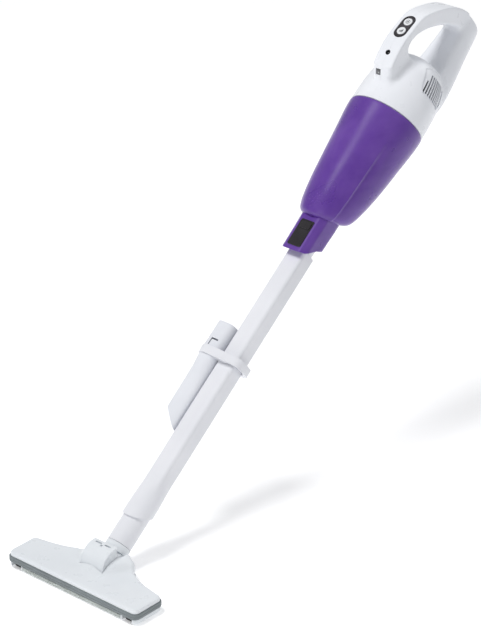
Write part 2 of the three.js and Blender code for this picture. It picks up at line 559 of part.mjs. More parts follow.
function controls() {
  const plate = solid(onPanel(new THREE.ExtrudeGeometry(pill(9.4, 19.4), {
    depth: 1.2, bevelEnabled: true, bevelThickness: 0.3, bevelSize: 0.5, bevelSegments: 1,
    curveSegments: 6 }).translate(0, 0, -1.2)));
  const holes = [-1, 1].map((s) => solid(onPanel(disc(BUTTON_R + 0.35, -5, 5, s * BUTTON_STEP))));
  add('button_panel', cut(plate, ...holes), 'black');
  [['power_button', 1], ['mode_button', -1]].forEach(([name, s]) => {
    const cap = solid(onPanel(new THREE.LatheGeometry([[0, -2.6], [BUTTON_R, -2.6], [BUTTON_R, 0.5],
      [BUTTON_R - 0.8, 1.2], [0, 1.4]].map(([r, u]) => new THREE.Vector2(r, u)), 20)
      .rotateX(Math.PI / 2).translate(0, s * BUTTON_STEP, 0)));
    const stem = solid(onPanel(disc(2, -4.6, -2, s * BUTTON_STEP, 14)));
    add(name, union(cap, stem), 'white');
  });
  add('switch_board', solid(onPanel(new THREE.BoxGeometry(22, 38, 1.6).translate(0, 0, -7.4))),
    'board');
  const jack = union(rod2(3.8, JACK_L, 64, 75.4), rod2(5.6, JACK_L, 63, 72.4));
  add('charging_jack', union(cut(jack, rod2(2.9, JACK_L, 66, 80)), rod2(0.95, JACK_L, 64, 74.6, 12)),
    'rubber');
  add('work_light', union(solid(onFace(new THREE.BoxGeometry(6.5, 6.5, 3.2).translate(0, 0, -2.2))),
    solid(onFace(new THREE.BoxGeometry(9, 9, 1.4).translate(0, 0, -4.2)))), 'lens');
}
const rod2 = (r, l, h0, h1, seg = 20) => solid(
  new THREE.CylinderGeometry(r, r, h1 - h0, seg).rotateX(Math.PI / 2).translate(0, l, (h0 + h1) / 2));

function drive() {
  add('capsule_collar', turned([[46, 683], [53, 683], [53, 691.4], [52.8, 700], [46, 700],
    [46, 683]], 28), 'white');
  let guard = turned([[14, 702.6], [43.4, 702.6], [43.8, 704], [43.8, 727], [40.8, 727], [40.8, 705.4],
    [14, 705.4], [14, 702.6]], 24);
  guard = union(guard, cut(turned([[20, 724.6], [41.6, 724.6], [41.6, 726.8], [20, 726.8],
    [20, 724.6]], 24), rod(4, 700, 740, 8, 32, 0), rod(4, 700, 740, 8, -32, 0),
  rod(4, 700, 740, 8, 0, 32), rod(4, 700, 740, 8, 0, -32)));
  add('fan_shroud', guard, 'darkgrey');
  let fan = union(turned([[0, 708], [8, 708], [38.6, 718.4], [38.6, 720], [0, 720]], 28),
    rod(7, 707, 721, 20));
  for (let k = 0; k < 9; k++) {
    fan = union(fan, solid(new THREE.BoxGeometry(1.4, 11.5, 28).translate(0, 713.2, 23)
      .rotateY(2 * Math.PI * k / 9)));
  }
  add('impeller', cut(fan, rod(2.6, 700, 730, 16), turned([[0, 700], [39.4, 700], [39.4, 707.2],
    [0, 707.2]], 20)), 'white');
  add('motor_shaft', rod(2.25, 703, 779, 16), 'steel');
  add('motor_can', cut(turned([[0, 731.8], [21.6, 731.8], [22, 733], [22, 768], [20, 770], [9, 770],
    [9, 774], [0, 774]], 24), rod(2.55, 720, 790, 14)), 'steel');
  let ring = turned([[22.4, 740], [43.8, 740], [43.8, 746], [22.4, 746], [22.4, 740]], 28);
  for (let k = 0; k < 6; k++) {
    const a = Math.PI * k / 3;
    ring = cut(ring, rod(5, 730, 750, 8, 33 * Math.cos(a), 33 * Math.sin(a)));
  }
  add('motor_mount', ring, 'rubber');
  for (const [label, s] of [['left', -1], ['right', 1]]) {
    const screen = cut(turned([[48.6, 736], [49.4, 736], [46.4, 764], [45.6, 764], [48.6, 736]], 36),
      box(s < 0 ? -26 : -80, s < 0 ? 80 : 26, 600, 900, -80, 80));
    add(`vent_screen_${label}`, screen, 'rubber');
  }
}
function battery() {
  [[-8.8, -43.5], [8.8, -43.5], [0, -28.2]].forEach(([x, h], i) => {
    add(`battery_cell_${i + 1}`, union(rod(CELL_R, CELL_FROM, CELL_FROM + CELL_LONG, 24, x, h),
      rod(3, CELL_FROM + CELL_LONG - 0.5, CELL_FROM + CELL_LONG + 1.2, 12, x, h)), 'cell');
  });
  add('control_board', box(-16, 16, 782, 783.6, -44, -16), 'board');
}

soleParts();
soleScrews();
frontWheels();
headCover();
elbowPart();
floorTube();
wandPart();
clipPart();
creviceTool();
capsuleParts();
filterParts();
housingParts();
controls();
drive();
battery();

export default root;
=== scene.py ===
import math

import bmesh
import bpy
from mathutils import Matrix, Vector
from mathutils.bvhtree import BVHTree


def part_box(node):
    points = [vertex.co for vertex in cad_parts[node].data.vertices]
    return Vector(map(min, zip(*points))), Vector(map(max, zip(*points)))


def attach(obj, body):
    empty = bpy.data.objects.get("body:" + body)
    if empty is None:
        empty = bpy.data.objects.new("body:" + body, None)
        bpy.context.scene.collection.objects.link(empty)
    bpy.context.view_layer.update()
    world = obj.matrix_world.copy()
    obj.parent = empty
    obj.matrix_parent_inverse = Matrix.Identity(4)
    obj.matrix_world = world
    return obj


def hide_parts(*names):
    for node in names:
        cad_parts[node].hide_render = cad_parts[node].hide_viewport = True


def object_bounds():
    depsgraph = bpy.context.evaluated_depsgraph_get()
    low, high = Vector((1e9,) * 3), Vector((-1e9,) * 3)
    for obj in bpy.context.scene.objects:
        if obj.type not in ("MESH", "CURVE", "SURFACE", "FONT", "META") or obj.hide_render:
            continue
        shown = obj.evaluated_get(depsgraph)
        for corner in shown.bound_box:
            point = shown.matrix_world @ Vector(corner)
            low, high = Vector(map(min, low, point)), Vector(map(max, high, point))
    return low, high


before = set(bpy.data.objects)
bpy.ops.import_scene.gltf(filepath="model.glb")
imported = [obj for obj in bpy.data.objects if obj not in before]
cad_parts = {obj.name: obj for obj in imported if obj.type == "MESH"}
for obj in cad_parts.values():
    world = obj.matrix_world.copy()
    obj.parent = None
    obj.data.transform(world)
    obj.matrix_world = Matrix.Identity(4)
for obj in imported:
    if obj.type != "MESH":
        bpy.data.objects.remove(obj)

CAD_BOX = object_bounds()

# Cordless stick vacuum: housing with a loop grip, see-through dust capsule, wand with a
# clipped-on crevice tool, and a floor head. Shapes are drawn in millimetres. Stick pieces are
# drawn as (across, along the stick, up from its axis) and then leaned back by TILT.
TILT = math.radians(38.34)
MM = 0.001
STICK = (Matrix.Translation((0, 0.060, 0.0288)) @ Matrix.Rotation(TILT, 4, "X")
         @ Matrix.Scale(MM, 4))
UPRIGHT = Matrix.Scale(MM, 4)
SIDE = Matrix(((0, 0, 1), (1, 0, 0), (0, 1, 0))).to_4x4()  # drawn (along, up), pushed across
SECTION = Matrix(((1, 0, 0), (0, 0, 1), (0, 1, 0))).to_4x4()  # drawn (across, up), pushed along
PLAN = Matrix.Identity(4)  # drawn (across, along), pushed up
OUTWARD = Matrix(((0, 1, 0), (1, 0, 0), (0, 0, 1))).to_4x4()  # drawn (along, out), pushed up
TURN = 2 * math.pi
SCENE = bpy.context.scene


# ---- finishes ----
class Value:
    """A socket of a finish. Plain arithmetic on it adds the Math nodes."""

    def __init__(self, finish, socket):
        self.finish, self.socket = finish, socket

    def _math(self, operation, *terms):
        return self.finish.node("Math", [("operation", operation)], dict(enumerate(terms)))

    def __add__(self, other):
        return self._math("ADD", self, other)

    def __radd__(self, other):
        return self._math("ADD", other, self)

    def __mul__(self, other):
        return self._math("MULTIPLY", self, other)

    def __rmul__(self, other):
        return self._math("MULTIPLY", other, self)


class Finish:
    """A material under construction."""

    def __init__(self, name):
        self.material = bpy.data.materials.new(name)
        self.material.use_nodes = True
        self.tree = self.material.node_tree
        self.tree.nodes.clear()

    def node(self, kind, settings=(), sockets=None, out=0):
        """A node of this kind: its settings first, then the values or links of its sockets."""
        n = self.tree.nodes.new("ShaderNode" + kind)
        for key, value in settings:
            if key == "stops":
                for k, (place, tone) in enumerate(value):
                    stop = (n.color_ramp.elements[k] if k < 2
                            else n.color_ramp.elements.new(place))
                    stop.position, stop.color = place, (*tone[:3], 1)
            else:
                setattr(n, key, value)
        for key, value in (sockets or {}).items():
            if isinstance(value, Value):
                self.tree.links.new(value.socket, n.inputs[key])
            else:
                n.inputs[key].default_value = value
        return Value(self, n.outputs[out]) if n.outputs else n

    def place(self, turn=(0, 0, 0), size=(1, 1, 1)):
        """Where on the object a point is, turned so that a pattern can follow the stick."""
        here = self.node("TexCoord", out="Object")
        return self.node("Mapping", sockets={"Vector": here, "Rotation": turn, "Scale": size})

    def noise(self, scale, detail=3, rough=0.5, place=None):
        return self.node("TexNoise", sockets={
            "Vector": place or self.place(), "Scale": scale, "Detail": detail,
            "Roughness": rough})

    def blend(self, amount, first, second):
        """From the first colour to the second as amount goes from 0 to 1."""
        return self.node("Mix", [("data_type", "RGBA")], {0: amount, 6: first, 7: second}, out=2)

    def range(self, value, low, high, to_low=0.0, to_high=1.0):
        return self.node("MapRange", sockets={
            "Value": value, "From Min": low, "From Max": high,
            "To Min": to_low, "To Max": to_high})

    def edges(self, low=0.5, high=0.56):
        """1 on outer edges, 0 on flats: rubbed wear on most finishes, a painted edge highlight on
        gloss black.
        """
        return self.range(self.node("NewGeometry", out="Pointiness"), low, high)

    def bumped(self, height, strength, distance):
        return self.node("Bump", sockets={
            "Height": height, "Strength": strength, "Distance": distance})

    def done(self, **sockets):
        shader = self.node("BsdfPrincipled", sockets={
            key.replace("_", " "): value for key, value in sockets.items()})
        self.node("OutputMaterial", sockets={"Surface": shader})
        return self.material


def tone(red, green, blue):
    """Linear colour from the 0 to 255 steps of a colour chart."""
    return tuple((c / 255 / 12.92 if c <= 10 else ((c / 255 + 0.055) / 1.055) ** 2.4)
                 for c in (red, green, blue)) + (1,)


def shell_plastic(name, base, rough=0.33, grain=900, grain_height=0.06):
    """Glossy moulded plastic: fine moulding grain, faint sink marks, rubbed edges."""
    f = Finish(name)
    cloud = f.noise(14, 3)
    lighter = tuple(min(1, c * 1.02) for c in base[:3]) + (1,)
    darker = (base[0] * 0.97, base[1] * 0.973, base[2] * 0.978, 1)
    colour = f.blend(f.range(cloud, 0.35, 0.65), darker, lighter)
    worn = f.edges(0.56, 0.66)
    colour = f.blend(worn * 0.35, colour, tuple(min(1, c * 1.05) for c in base[:3]) + (1,))
    fine = f.noise(grain, 2)
    wave = f.noise(34, 1)
    return f.done(
        Base_Color=colour, Roughness=f.range(f.noise(60, 3), 0.3, 0.7, rough - 0.04, rough + 0.06)
        + worn * 0.08, Normal=f.bumped(fine * grain_height + wave * 0.5, 0.35, 0.00025),
        Coat_Weight=0.12, Coat_Roughness=0.12, IOR=1.5)


def tinted_plastic(name):
    """See-through purple of the dust capsule, milky where the wall is thick, dusty inside."""
    f = Finish(name)
    cloud = f.noise(16, 3, 0.55)
    streak = f.noise(9, 3, 0.6, f.place((-TILT, 0, 0), (3.5, 0.5, 3.5)))
    colour = f.blend(f.range(cloud, 0.3, 0.72), tone(96, 54, 158), tone(112, 70, 172))
    colour = f.blend(f.range(streak, 0.45, 0.75) * 0.5, colour, tone(126, 88, 182))
    scratch = f.noise(420, 2, 0.6, f.place((-TILT, 0, 0), (1, 0.08, 1)))
    return f.done(
        Base_Color=colour, Roughness=f.range(cloud, 0.3, 0.7, 0.26, 0.36)
        + f.range(scratch, 0.62, 0.75) * 0.06,
        Normal=f.bumped(f.noise(60, 2), 0.15, 0.0002),
        Transmission_Weight=0.22, IOR=1.45, Coat_Weight=0.15, Coat_Roughness=0.12,
        Subsurface_Weight=0.12, Subsurface_Radius=(0.004, 0.002, 0.006), Subsurface_Scale=1.0)


def gloss_black(name):
    f = Finish(name)
    cloud = f.noise(40, 4)
    colour = f.blend(f.range(cloud, 0.35, 0.7), tone(14, 10, 14), tone(26, 21, 27))
    # painted highlight: the outer edges are lightened to grey to stand for rim highlights
    colour = f.blend(f.edges(0.52, 0.6) * 0.6, colour, tone(92, 88, 96))
    return f.done(Base_Color=colour, Roughness=f.range(f.noise(130, 4), 0.3, 0.7, 0.12, 0.3),
                  Normal=f.bumped(f.noise(700, 2), 0.08, 0.0001), Coat_Weight=0.6,
                  Coat_Roughness=0.05, IOR=1.5)


def matte_plastic(name, base, rough=0.5, grain=1300):
    """Moulded plastic with a spark-eroded grain, scuffed along its edges."""
    f = Finish(name)
    cloud = f.noise(30, 4)
    dark = tuple(c * 0.82 for c in base[:3]) + (1,)
    light = tuple(min(1, c * 1.14) for c in base[:3]) + (1,)
    colour = f.blend(f.range(cloud, 0.3, 0.7), dark, light)
    colour = f.blend(f.edges(0.52, 0.6) * 0.55, colour,
                     tuple(min(1, c * 1.9 + 0.02) for c in base[:3]) + (1,))
    dust = f.range(f.noise(240, 3), 0.6, 0.75)
    colour = f.blend(dust * 0.05, colour, tone(168, 164, 156))
    return f.done(Base_Color=colour, Roughness=f.range(f.noise(80, 3), 0.3, 0.7, rough - 0.06,
                                                       rough + 0.08),
                  Normal=f.bumped(f.noise(grain, 2), 0.3, 0.0003), IOR=1.48)


def soft_rubber(name, base):
    f = Finish(name)
    cloud = f.noise(50, 4)
    colour = f.blend(f.range(cloud, 0.3, 0.7), tuple(c * 0.75 for c in base[:3]) + (1,),
                     tuple(c * 1.35 for c in base[:3]) + (1,))
    dust = f.range(f.noise(180, 4), 0.55, 0.8)
    colour = f.blend(dust * 0.25, colour, tone(140, 136, 130))
    return f.done(Base_Color=colour, Roughness=f.range(cloud, 0.3, 0.7, 0.62, 0.82),
                  Normal=f.bumped(f.noise(1500, 2) + dust * 0.4, 0.4, 0.0003), IOR=1.45)


def bare_metal(name, base, rough=0.28):
    """Turned or drawn metal with fine tool marks round it."""
    f = Finish(name)
    marks = f.noise(300, 2, 0.6, f.place((-TILT, 0, 0), (0.2, 5, 0.2)))
    cloud = f.noise(70, 3)
    colour = f.blend(f.range(cloud, 0.3, 0.7), tuple(c * 0.8 for c in base[:3]) + (1,), base)
    return f.done(Base_Color=colour, Metallic=1.0,
                  Roughness=f.range(marks, 0.3, 0.7, rough - 0.08, rough + 0.12),
                  Normal=f.bumped(marks, 0.15, 0.0001))


def frosted_clear(name):
    """Pale greenish see-through plastic of the floor head's lip."""
    f = Finish(name)
    cloud = f.noise(40, 4)
    colour = f.blend(f.range(cloud, 0.3, 0.7), tone(196, 203, 199), tone(222, 228, 225))
    dust = f.range(f.noise(260, 4), 0.55, 0.75)
    colour = f.blend(dust * 0.3, colour, tone(176, 172, 160))
    return f.done(Base_Color=colour, Roughness=f.range(cloud, 0.3, 0.7, 0.22, 0.38)
                  + dust * 0.15, Normal=f.bumped(f.noise(400, 3), 0.15, 0.0002),
                  Transmission_Weight=0.35, IOR=1.49)


def pressed_felt(name):
    f = Finish(name)
    fibre = f.noise(900, 4, 0.7)
    colour = f.blend(f.range(fibre, 0.3, 0.7), tone(108, 111, 116), tone(158, 161, 166))
    return f.done(Base_Color=colour, Roughness=f.range(fibre, 0.3, 0.7, 0.88, 1.0),
                  Normal=f.bumped(fibre, 0.9, 0.0006), Sheen_Weight=0.4, Sheen_Roughness=0.5)


def filter_weave(name):
    """Close non-woven cloth of the filter, greyed with dust."""
    f = Finish(name)
    across = f.node("TexWave", [("bands_direction", "X")], {
        "Vector": f.place((-TILT, 0, 0)), "Scale": 420, "Distortion": 1.2, "Detail": 2})
    along = f.node("TexWave", [("bands_direction", "Y")], {
        "Vector": f.place((-TILT, 0, 0)), "Scale": 420, "Distortion": 1.2, "Detail": 2})
    weave = f.node("RGBToBW", sockets={0: across}) * f.node("RGBToBW", sockets={0: along})
    dust = f.range(f.noise(30, 5), 0.45, 0.7)
    colour = f.blend(dust * 0.7, tone(222, 217, 205), tone(150, 146, 140))
    return f.done(Base_Color=f.blend(weave * 0.25, colour, tone(120, 116, 110)),
                  Roughness=0.9 + dust * 0.08, Normal=f.bumped(weave, 0.6, 0.0004),
                  Sheen_Weight=0.3, Sheen_Roughness=0.6)


def shrink_sleeve(name):
    """Blue sleeve shrunk on a battery cell."""
    f = Finish(name)
    cloud = f.noise(40, 4)
    wrinkle = f.noise(260, 3, 0.6, f.place((-TILT, 0, 0), (1, 0.15, 1)))
    colour = f.blend(f.range(cloud, 0.3, 0.7), tone(42, 92, 148), tone(70, 126, 182))
    return f.done(Base_Color=colour, Roughness=f.range(wrinkle, 0.3, 0.7, 0.28, 0.45),
                  Normal=f.bumped(wrinkle, 0.4, 0.0002), Coat_Weight=0.2)


def lacquered_board(name):
    f = Finish(name)
    cells = f.node("TexVoronoi", [("feature", "DISTANCE_TO_EDGE")],
                   {"Vector": f.place((-TILT, 0, 0)), "Scale": 420})
    track = f.range(cells, 0.02, 0.05)
    colour = f.blend(track, tone(70, 140, 92), tone(26, 84, 52))
    return f.done(Base_Color=colour, Roughness=f.range(f.noise(90, 3), 0.3, 0.7, 0.3, 0.5),
                  Normal=f.bumped(track, 0.4, 0.0001), Coat_Weight=0.3)


def lamp_lens(name):
    """Smoked window of the work light. Its lower half, over where the diode sits, is painted
    greyer as a painted reflection.
    """
    f = Finish(name)
    here = f.node("SeparateXYZ", sockets={0: f.place((-TILT, 0, 0))}, out="Y")
    low, high = span("work_light")
    middle = (low.y + high.y) / 2
    origin = Matrix.Rotation(-TILT, 3, "X") @ Vector((0, 0.060, 0.0288))
    # painted reflection: the lower half of the window is lightened to grey
    painted_reflection = f.range(here, origin.y + (middle - 2.2) * MM, origin.y + (middle + 0.4) * MM, 1, 0)
    colour = f.blend(painted_reflection * 0.7, tone(16, 17, 21), tone(110, 112, 117))
    glint = f.noise(700, 2)
    return f.done(Base_Color=colour, Roughness=f.range(glint, 0.3, 0.7, 0.06, 0.16),
                  Normal=f.bumped(glint, 0.08, 0.0001), Coat_Weight=0.7, Coat_Roughness=0.04)


def printed_ink(name, base):
    f = Finish(name)
    spread = f.noise(900, 3)
    colour = f.blend(f.range(spread, 0.35, 0.7), base, tuple(c * 1.5 + 0.02 for c in base[:3])
                     + (1,))
    return f.done(Base_Color=colour, Roughness=f.range(spread, 0.3, 0.7, 0.4, 0.6),
                  Normal=f.bumped(spread, 0.2, 0.0001))


# ---- shaping tools, all in millimetres ----
def span(node):
    """Lowest and highest corner of a CAD node in the stick's own millimetres."""
    back = STICK.inverted()
    seen = [back @ v.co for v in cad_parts[node].data.vertices]
    return (Vector([min(p[k] for p in seen) for k in range(3)]),
            Vector([max(p[k] for p in seen) for k in range(3)]))


def smooth_line(points, step=2.0, closed=False):
    """Evenly stepped points of a smooth line that goes through the given ones."""
    pts = [Vector(p) for p in points]
    n = len(pts)

    def chord(i):
        return (pts[(i + 1) % n] - pts[i % n]).length

    def heading(i):
        if not closed and i == 0:
            return (pts[1] - pts[0]) / chord(0)
        if not closed and i == n - 1:
            return (pts[-1] - pts[-2]) / chord(n - 2)
        before, after = chord(i - 1), chord(i)
        came = (pts[i] - pts[i - 1]) / before
        goes = (pts[(i + 1) % n] - pts[i]) / after
        return (came * after + goes * before) / (before + after)

    line = []
    for i in range(n if closed else n - 1):
        a, b, d = pts[i], pts[(i + 1) % n], chord(i)
        out, into = heading(i) * d, heading((i + 1) % n) * d
        for k in range(max(1, round(d / step))):
            t = k / max(1, round(d / step))
            line.append(a * (2 * t**3 - 3 * t**2 + 1) + out * (t**3 - 2 * t**2 + t)
                        + b * (3 * t**2 - 2 * t**3) + into * (t**3 - t**2))
    if not closed:
        line.append(pts[-1])
    return line


def arc(cx, cy, r, start, end, parts):
    return [(cx + r * math.cos(math.radians(start + (end - start) * k / parts)),
             cy + r * math.sin(math.radians(start + (end - start) * k / parts)))
            for k in range(parts + 1)]


def round_rect(x0, x1, y0, y1, r, parts=8):
    return (arc(x1 - r, y0 + r, r, -90, 0, parts) + arc(x1 - r, y1 - r, r, 0, 90, parts)
            + arc(x0 + r, y1 - r, r, 90, 180, parts) + arc(x0 + r, y0 + r, r, 180, 270, parts))


def pill(half, long, parts=20):
    return arc(0, long - half, half, 0, 180, parts) + arc(0, half - long, half, 180, 360, parts)


def body(bm, move=None):
    """A scratch object from a mesh under construction, closed and facing outwards."""
    if move is not None:
        bm.transform(move)
    bmesh.ops.remove_doubles(bm, verts=bm.verts, dist=1e-4)
    bmesh.ops.recalc_face_normals(bm, faces=bm.faces)
    mesh = bpy.data.meshes.new("blank")
    bm.to_mesh(mesh)
    bm.free()
    obj = bpy.data.objects.new("blank", mesh)
    SCENE.collection.objects.link(obj)
    return obj


def drop(*objs):
    for o in objs:
        mesh = o.data
        bpy.data.objects.remove(o)
        bpy.data.meshes.remove(mesh)


def settle(obj):
    """Makes an object's modifiers part of its mesh."""
    bpy.context.view_layer.update()
    seen = obj.evaluated_get(bpy.context.evaluated_depsgraph_get())
    made = bpy.data.meshes.new_from_object(seen)
    old = obj.data
    obj.modifiers.clear()
    obj.data = made
    bpy.data.meshes.remove(old)
    return obj


def carve(obj, *tools, how="DIFFERENCE"):
    """Cuts the tools out of obj, or joins or intersects them with it."""
    for tool in tools:
        m = obj.modifiers.new("carve", "BOOLEAN")
        m.object, m.operation, m.solver = tool, how, "EXACT"
    settle(obj)
    drop(*tools)
    return obj


def merged(first, *rest):
    return carve(first, *rest, how="UNION") if rest else first


def copy_of(obj):
    twin = obj.copy()
    twin.data = obj.data.copy()
    SCENE.collection.objects.link(twin)
    return twin


def pushed(outline, low, high, turn=PLAN, rim=0.0, parts=3, move=None):
    """A flat outline pushed out into a solid, with its two rims rounded over."""
    bm = bmesh.new()
    face = bm.faces.new([bm.verts.new((a, b, low)) for a, b in outline])
    grown = bmesh.ops.extrude_face_region(bm, geom=[face])["geom"]
    lifted = [v for v in grown if isinstance(v, bmesh.types.BMVert)]
    bmesh.ops.translate(bm, verts=lifted, vec=(0, 0, high - low))
    if rim:
        rims = [e for e in bm.edges if abs(e.verts[0].co.z - e.verts[1].co.z) < 1e-6]
        bmesh.ops.bevel(bm, geom=rims, offset=rim, offset_type="OFFSET", segments=parts,
                        profile=0.5, affect="EDGES", material=-1, clamp_overlap=True)
    return body(bm, turn if move is None else move @ turn)


def revolved(pairs, steps=128, move=None):
    """[radius, along] pairs turned about the stick's axis."""
    bm = bmesh.new()
    line = [bm.verts.new((r, along, 0)) for r, along in pairs]
    edges = [bm.edges.new(pair) for pair in zip(line, line[1:])]
    bmesh.ops.spin(bm, geom=line + edges, cent=(0, 0, 0), axis=(0, 1, 0), dvec=(0, 0, 0),
                   angle=TURN, steps=steps, use_merge=True, use_duplicate=False)
    return body(bm, move)


def rod(r, low, high, x=0.0, up=0.0, steps=64, rim=0.0, move=None):
    """A round bar along the stick."""
    pairs = [(0, low), (r, low), (r, high), (0, high)]
    if rim:
        pairs = [(0, low), (r - rim, low), (r - rim * 0.3, low + rim * 0.3), (r, low + rim),
                 (r, high - rim), (r - rim * 0.3, high - rim * 0.3), (r - rim, high),
                 (0, high)]
    shift = Matrix.Translation((x, 0, up))
    return revolved(pairs, steps, shift if move is None else move @ shift)


ACROSS = Matrix.Rotation(-math.pi / 2, 4, "Z")  # a rod along the stick, laid across it
UPWARD = Matrix.Rotation(math.pi / 2, 4, "X")  # a rod along the stick, stood up


def pin(r, x0, x1, y, z, steps=64, rim=0.0):
    """A round bar across the machine."""
    return rod(r, x0, x1, steps=steps, rim=rim, move=Matrix.Translation((0, y, z)) @ ACROSS)


def post(r, low, high, x, y, steps=48, rim=0.0, move=None):
    """A round bar standing up from low to high."""
    stand = Matrix.Translation((x, y, 0)) @ UPWARD
    return rod(r, low, high, steps=steps, rim=rim, move=stand if move is None
               else move @ stand)


def block(x0, x1, y0, y1, z0, z1, rim=0.0, move=None):
    bm = bmesh.new()
    bmesh.ops.create_cube(bm, size=1)
    bmesh.ops.scale(bm, verts=bm.verts, vec=(x1 - x0, y1 - y0, z1 - z0))
    bmesh.ops.translate(bm, verts=bm.verts,
                        vec=((x0 + x1) / 2, (y0 + y1) / 2, (z0 + z1) / 2))
    if rim:
        bmesh.ops.bevel(bm, geom=bm.edges[:], offset=rim, offset_type="OFFSET", segments=3,
                        profile=0.5, affect="EDGES", material=-1)
    return body(bm, move)


def ball(r, size, at, steps=64):
    bm = bmesh.new()
    bmesh.ops.create_uvsphere(bm, u_segments=steps, v_segments=steps // 2, radius=r)
    bmesh.ops.scale(bm, verts=bm.verts, vec=size)
    return body(bm, Matrix.Translation(at))


def lofted(rings, ends=True):
    """A skin stretched over rings of points that all have the same number of points."""
    around, along = len(rings[0]), len(rings) - 1
    bm = bmesh.new()
    bmesh.ops.create_grid(bm, x_segments=around, y_segments=along, size=1)
    across = sorted({round(v.co.x, 5) for v in bm.verts})
    up = sorted({round(v.co.y, 5) for v in bm.verts})
    for v in bm.verts:
        i, j = across.index(round(v.co.x, 5)), up.index(round(v.co.y, 5))
        v.co = rings[j][i % around]
    bmesh.ops.remove_doubles(bm, verts=bm.verts, dist=1e-4)
    if ends:
        open_edges = [e for e in bm.edges if e.is_boundary]
        bmesh.ops.holes_fill(bm, edges=open_edges, sides=0)
    return body(bm)


def ease(t):
    t = max(0.0, min(1.0, t))
    return t * t * (3 - 2 * t)


def softened(obj, voxel, rounds=3):
    """One even skin over several joined solids, its hard edges eased a little."""
    m = obj.modifiers.new("skin", "REMESH")
    m.mode, m.voxel_size, m.adaptivity = "VOXEL", voxel, 0
    settle(obj)
    bm = bmesh.new()
    bm.from_mesh(obj.data)
    for _ in range(rounds):
        bmesh.ops.smooth_vert(bm, verts=bm.verts, factor=0.5, use_axis_x=True,
                              use_axis_y=True, use_axis_z=True)
    bm.to_mesh(obj.data)
    bm.free()
    return obj


def melted(obj, parts, reach, rounds):
    """Runs a fillet along the lines where the parts that obj was made of meet."""
    trees = []
    for part in parts:
        bm = bmesh.new()
        bm.from_mesh(part.data)
        trees.append(BVHTree.FromBMesh(bm))
        bm.free()
    bm = bmesh.new()
    bm.from_mesh(obj.data)
    near = []
    for v in bm.verts:
        gaps = sorted(tree.find_nearest(v.co)[3] for tree in trees)
        if gaps[1] < reach:
            near.append(v)
    for _ in range(rounds):
        bmesh.ops.smooth_vert(bm, verts=near, factor=0.5, use_axis_x=True, use_axis_y=True,
                              use_axis_z=True)
    bm.to_mesh(obj.data)
    bm.free()
    return obj


def finished(obj, name, place, rides, finish, stands_for=(), sharp=32, rim=0.0,
             rim_parts=2, rim_from=35):
    """Names a shaped piece, puts it in its place and gives it its finish and its body."""
    if rim:
        m = obj.modifiers.new("rim", "BEVEL")
        m.width, m.segments, m.limit_method = rim, rim_parts, "ANGLE"
        m.angle_limit = math.radians(rim_from)
        m.use_clamp_overlap = True
        m.harden_normals = False
        settle(obj)
    obj.data.transform(place)
    obj.data.shade_smooth()
    obj.data.set_sharp_from_angle(angle=math.radians(sharp))
    obj.name = obj.data.name = name
    obj.data.materials.clear()
    obj.data.materials.append(finish)
    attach(obj, rides)
    if stands_for:
        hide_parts(*stands_for)
    return obj


# ---- finishes of this cleaner ----
WHITE = shell_plastic("white_shell", tone(232, 234, 239), 0.3)
PIPE_WHITE = shell_plastic("white_pipe", tone(230, 231, 236), 0.34)
TOOL_WHITE = shell_plastic("white_tool", tone(226, 228, 234), 0.4, grain_height=0.12)
HEAD_WHITE = shell_plastic("white_head", tone(229, 233, 237), 0.3)
KEY_WHITE = shell_plastic("white_key", tone(226, 228, 231), 0.36, grain_height=0.1)
PURPLE = tinted_plastic("purple_see_through")
BLACK = gloss_black("black_gloss")
BAND = matte_plastic("bumper_grey", tone(112, 119, 122), 0.55)
DARK = matte_plastic("dark_grey", tone(52, 54, 58), 0.5)
MESH_BLACK = matte_plastic("screen_black", tone(24, 26, 29), 0.7)
CLEAR = frosted_clear("frosted_lip")
RUBBER = soft_rubber("black_rubber", tone(36, 37, 39))
STEEL = bare_metal("bright_steel", tone(196, 198, 202))
CAN = bare_metal("motor_steel", tone(168, 170, 174), 0.35)
CELL = shrink_sleeve("cell_sleeve")
BOARD = lacquered_board("green_board")
FELT = pressed_felt("grey_felt")
CLOTH = filter_weave("filter_cloth")
LENS = lamp_lens("lamp_lens")
INK = printed_ink("printed_grey", tone(52, 52, 58))

# CAD pieces whose shape is right keep it and take a finish
KEPT = {
    "front_lip": CLEAR, "lint_strip_front": FELT, "lint_strip_rear": FELT,
    "wheel_fork_left": DARK, "wheel_fork_right": DARK, "wheel_axle_left": STEEL,
    "wheel_axle_right": STEEL, "pivot_pin_left": STEEL, "pivot_pin_right": STEEL,
    "flap_pin": STEEL, "check_flap": RUBBER, "filter_frame": DARK, "filter_cloth": CLOTH,
    "seal_ring": RUBBER,
    "switch_board": BOARD, "control_board": BOARD, "capsule_collar": WHITE,
    "fan_shroud": DARK, "impeller": WHITE, "motor_shaft": STEEL, "motor_can": CAN,
    "motor_mount": RUBBER,
    "battery_cell_1": CELL, "battery_cell_2": CELL, "battery_cell_3": CELL,
}
for node_name, node_finish in KEPT.items():
    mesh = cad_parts[node_name].data
    mesh.materials.clear()
    mesh.materials.append(node_finish)


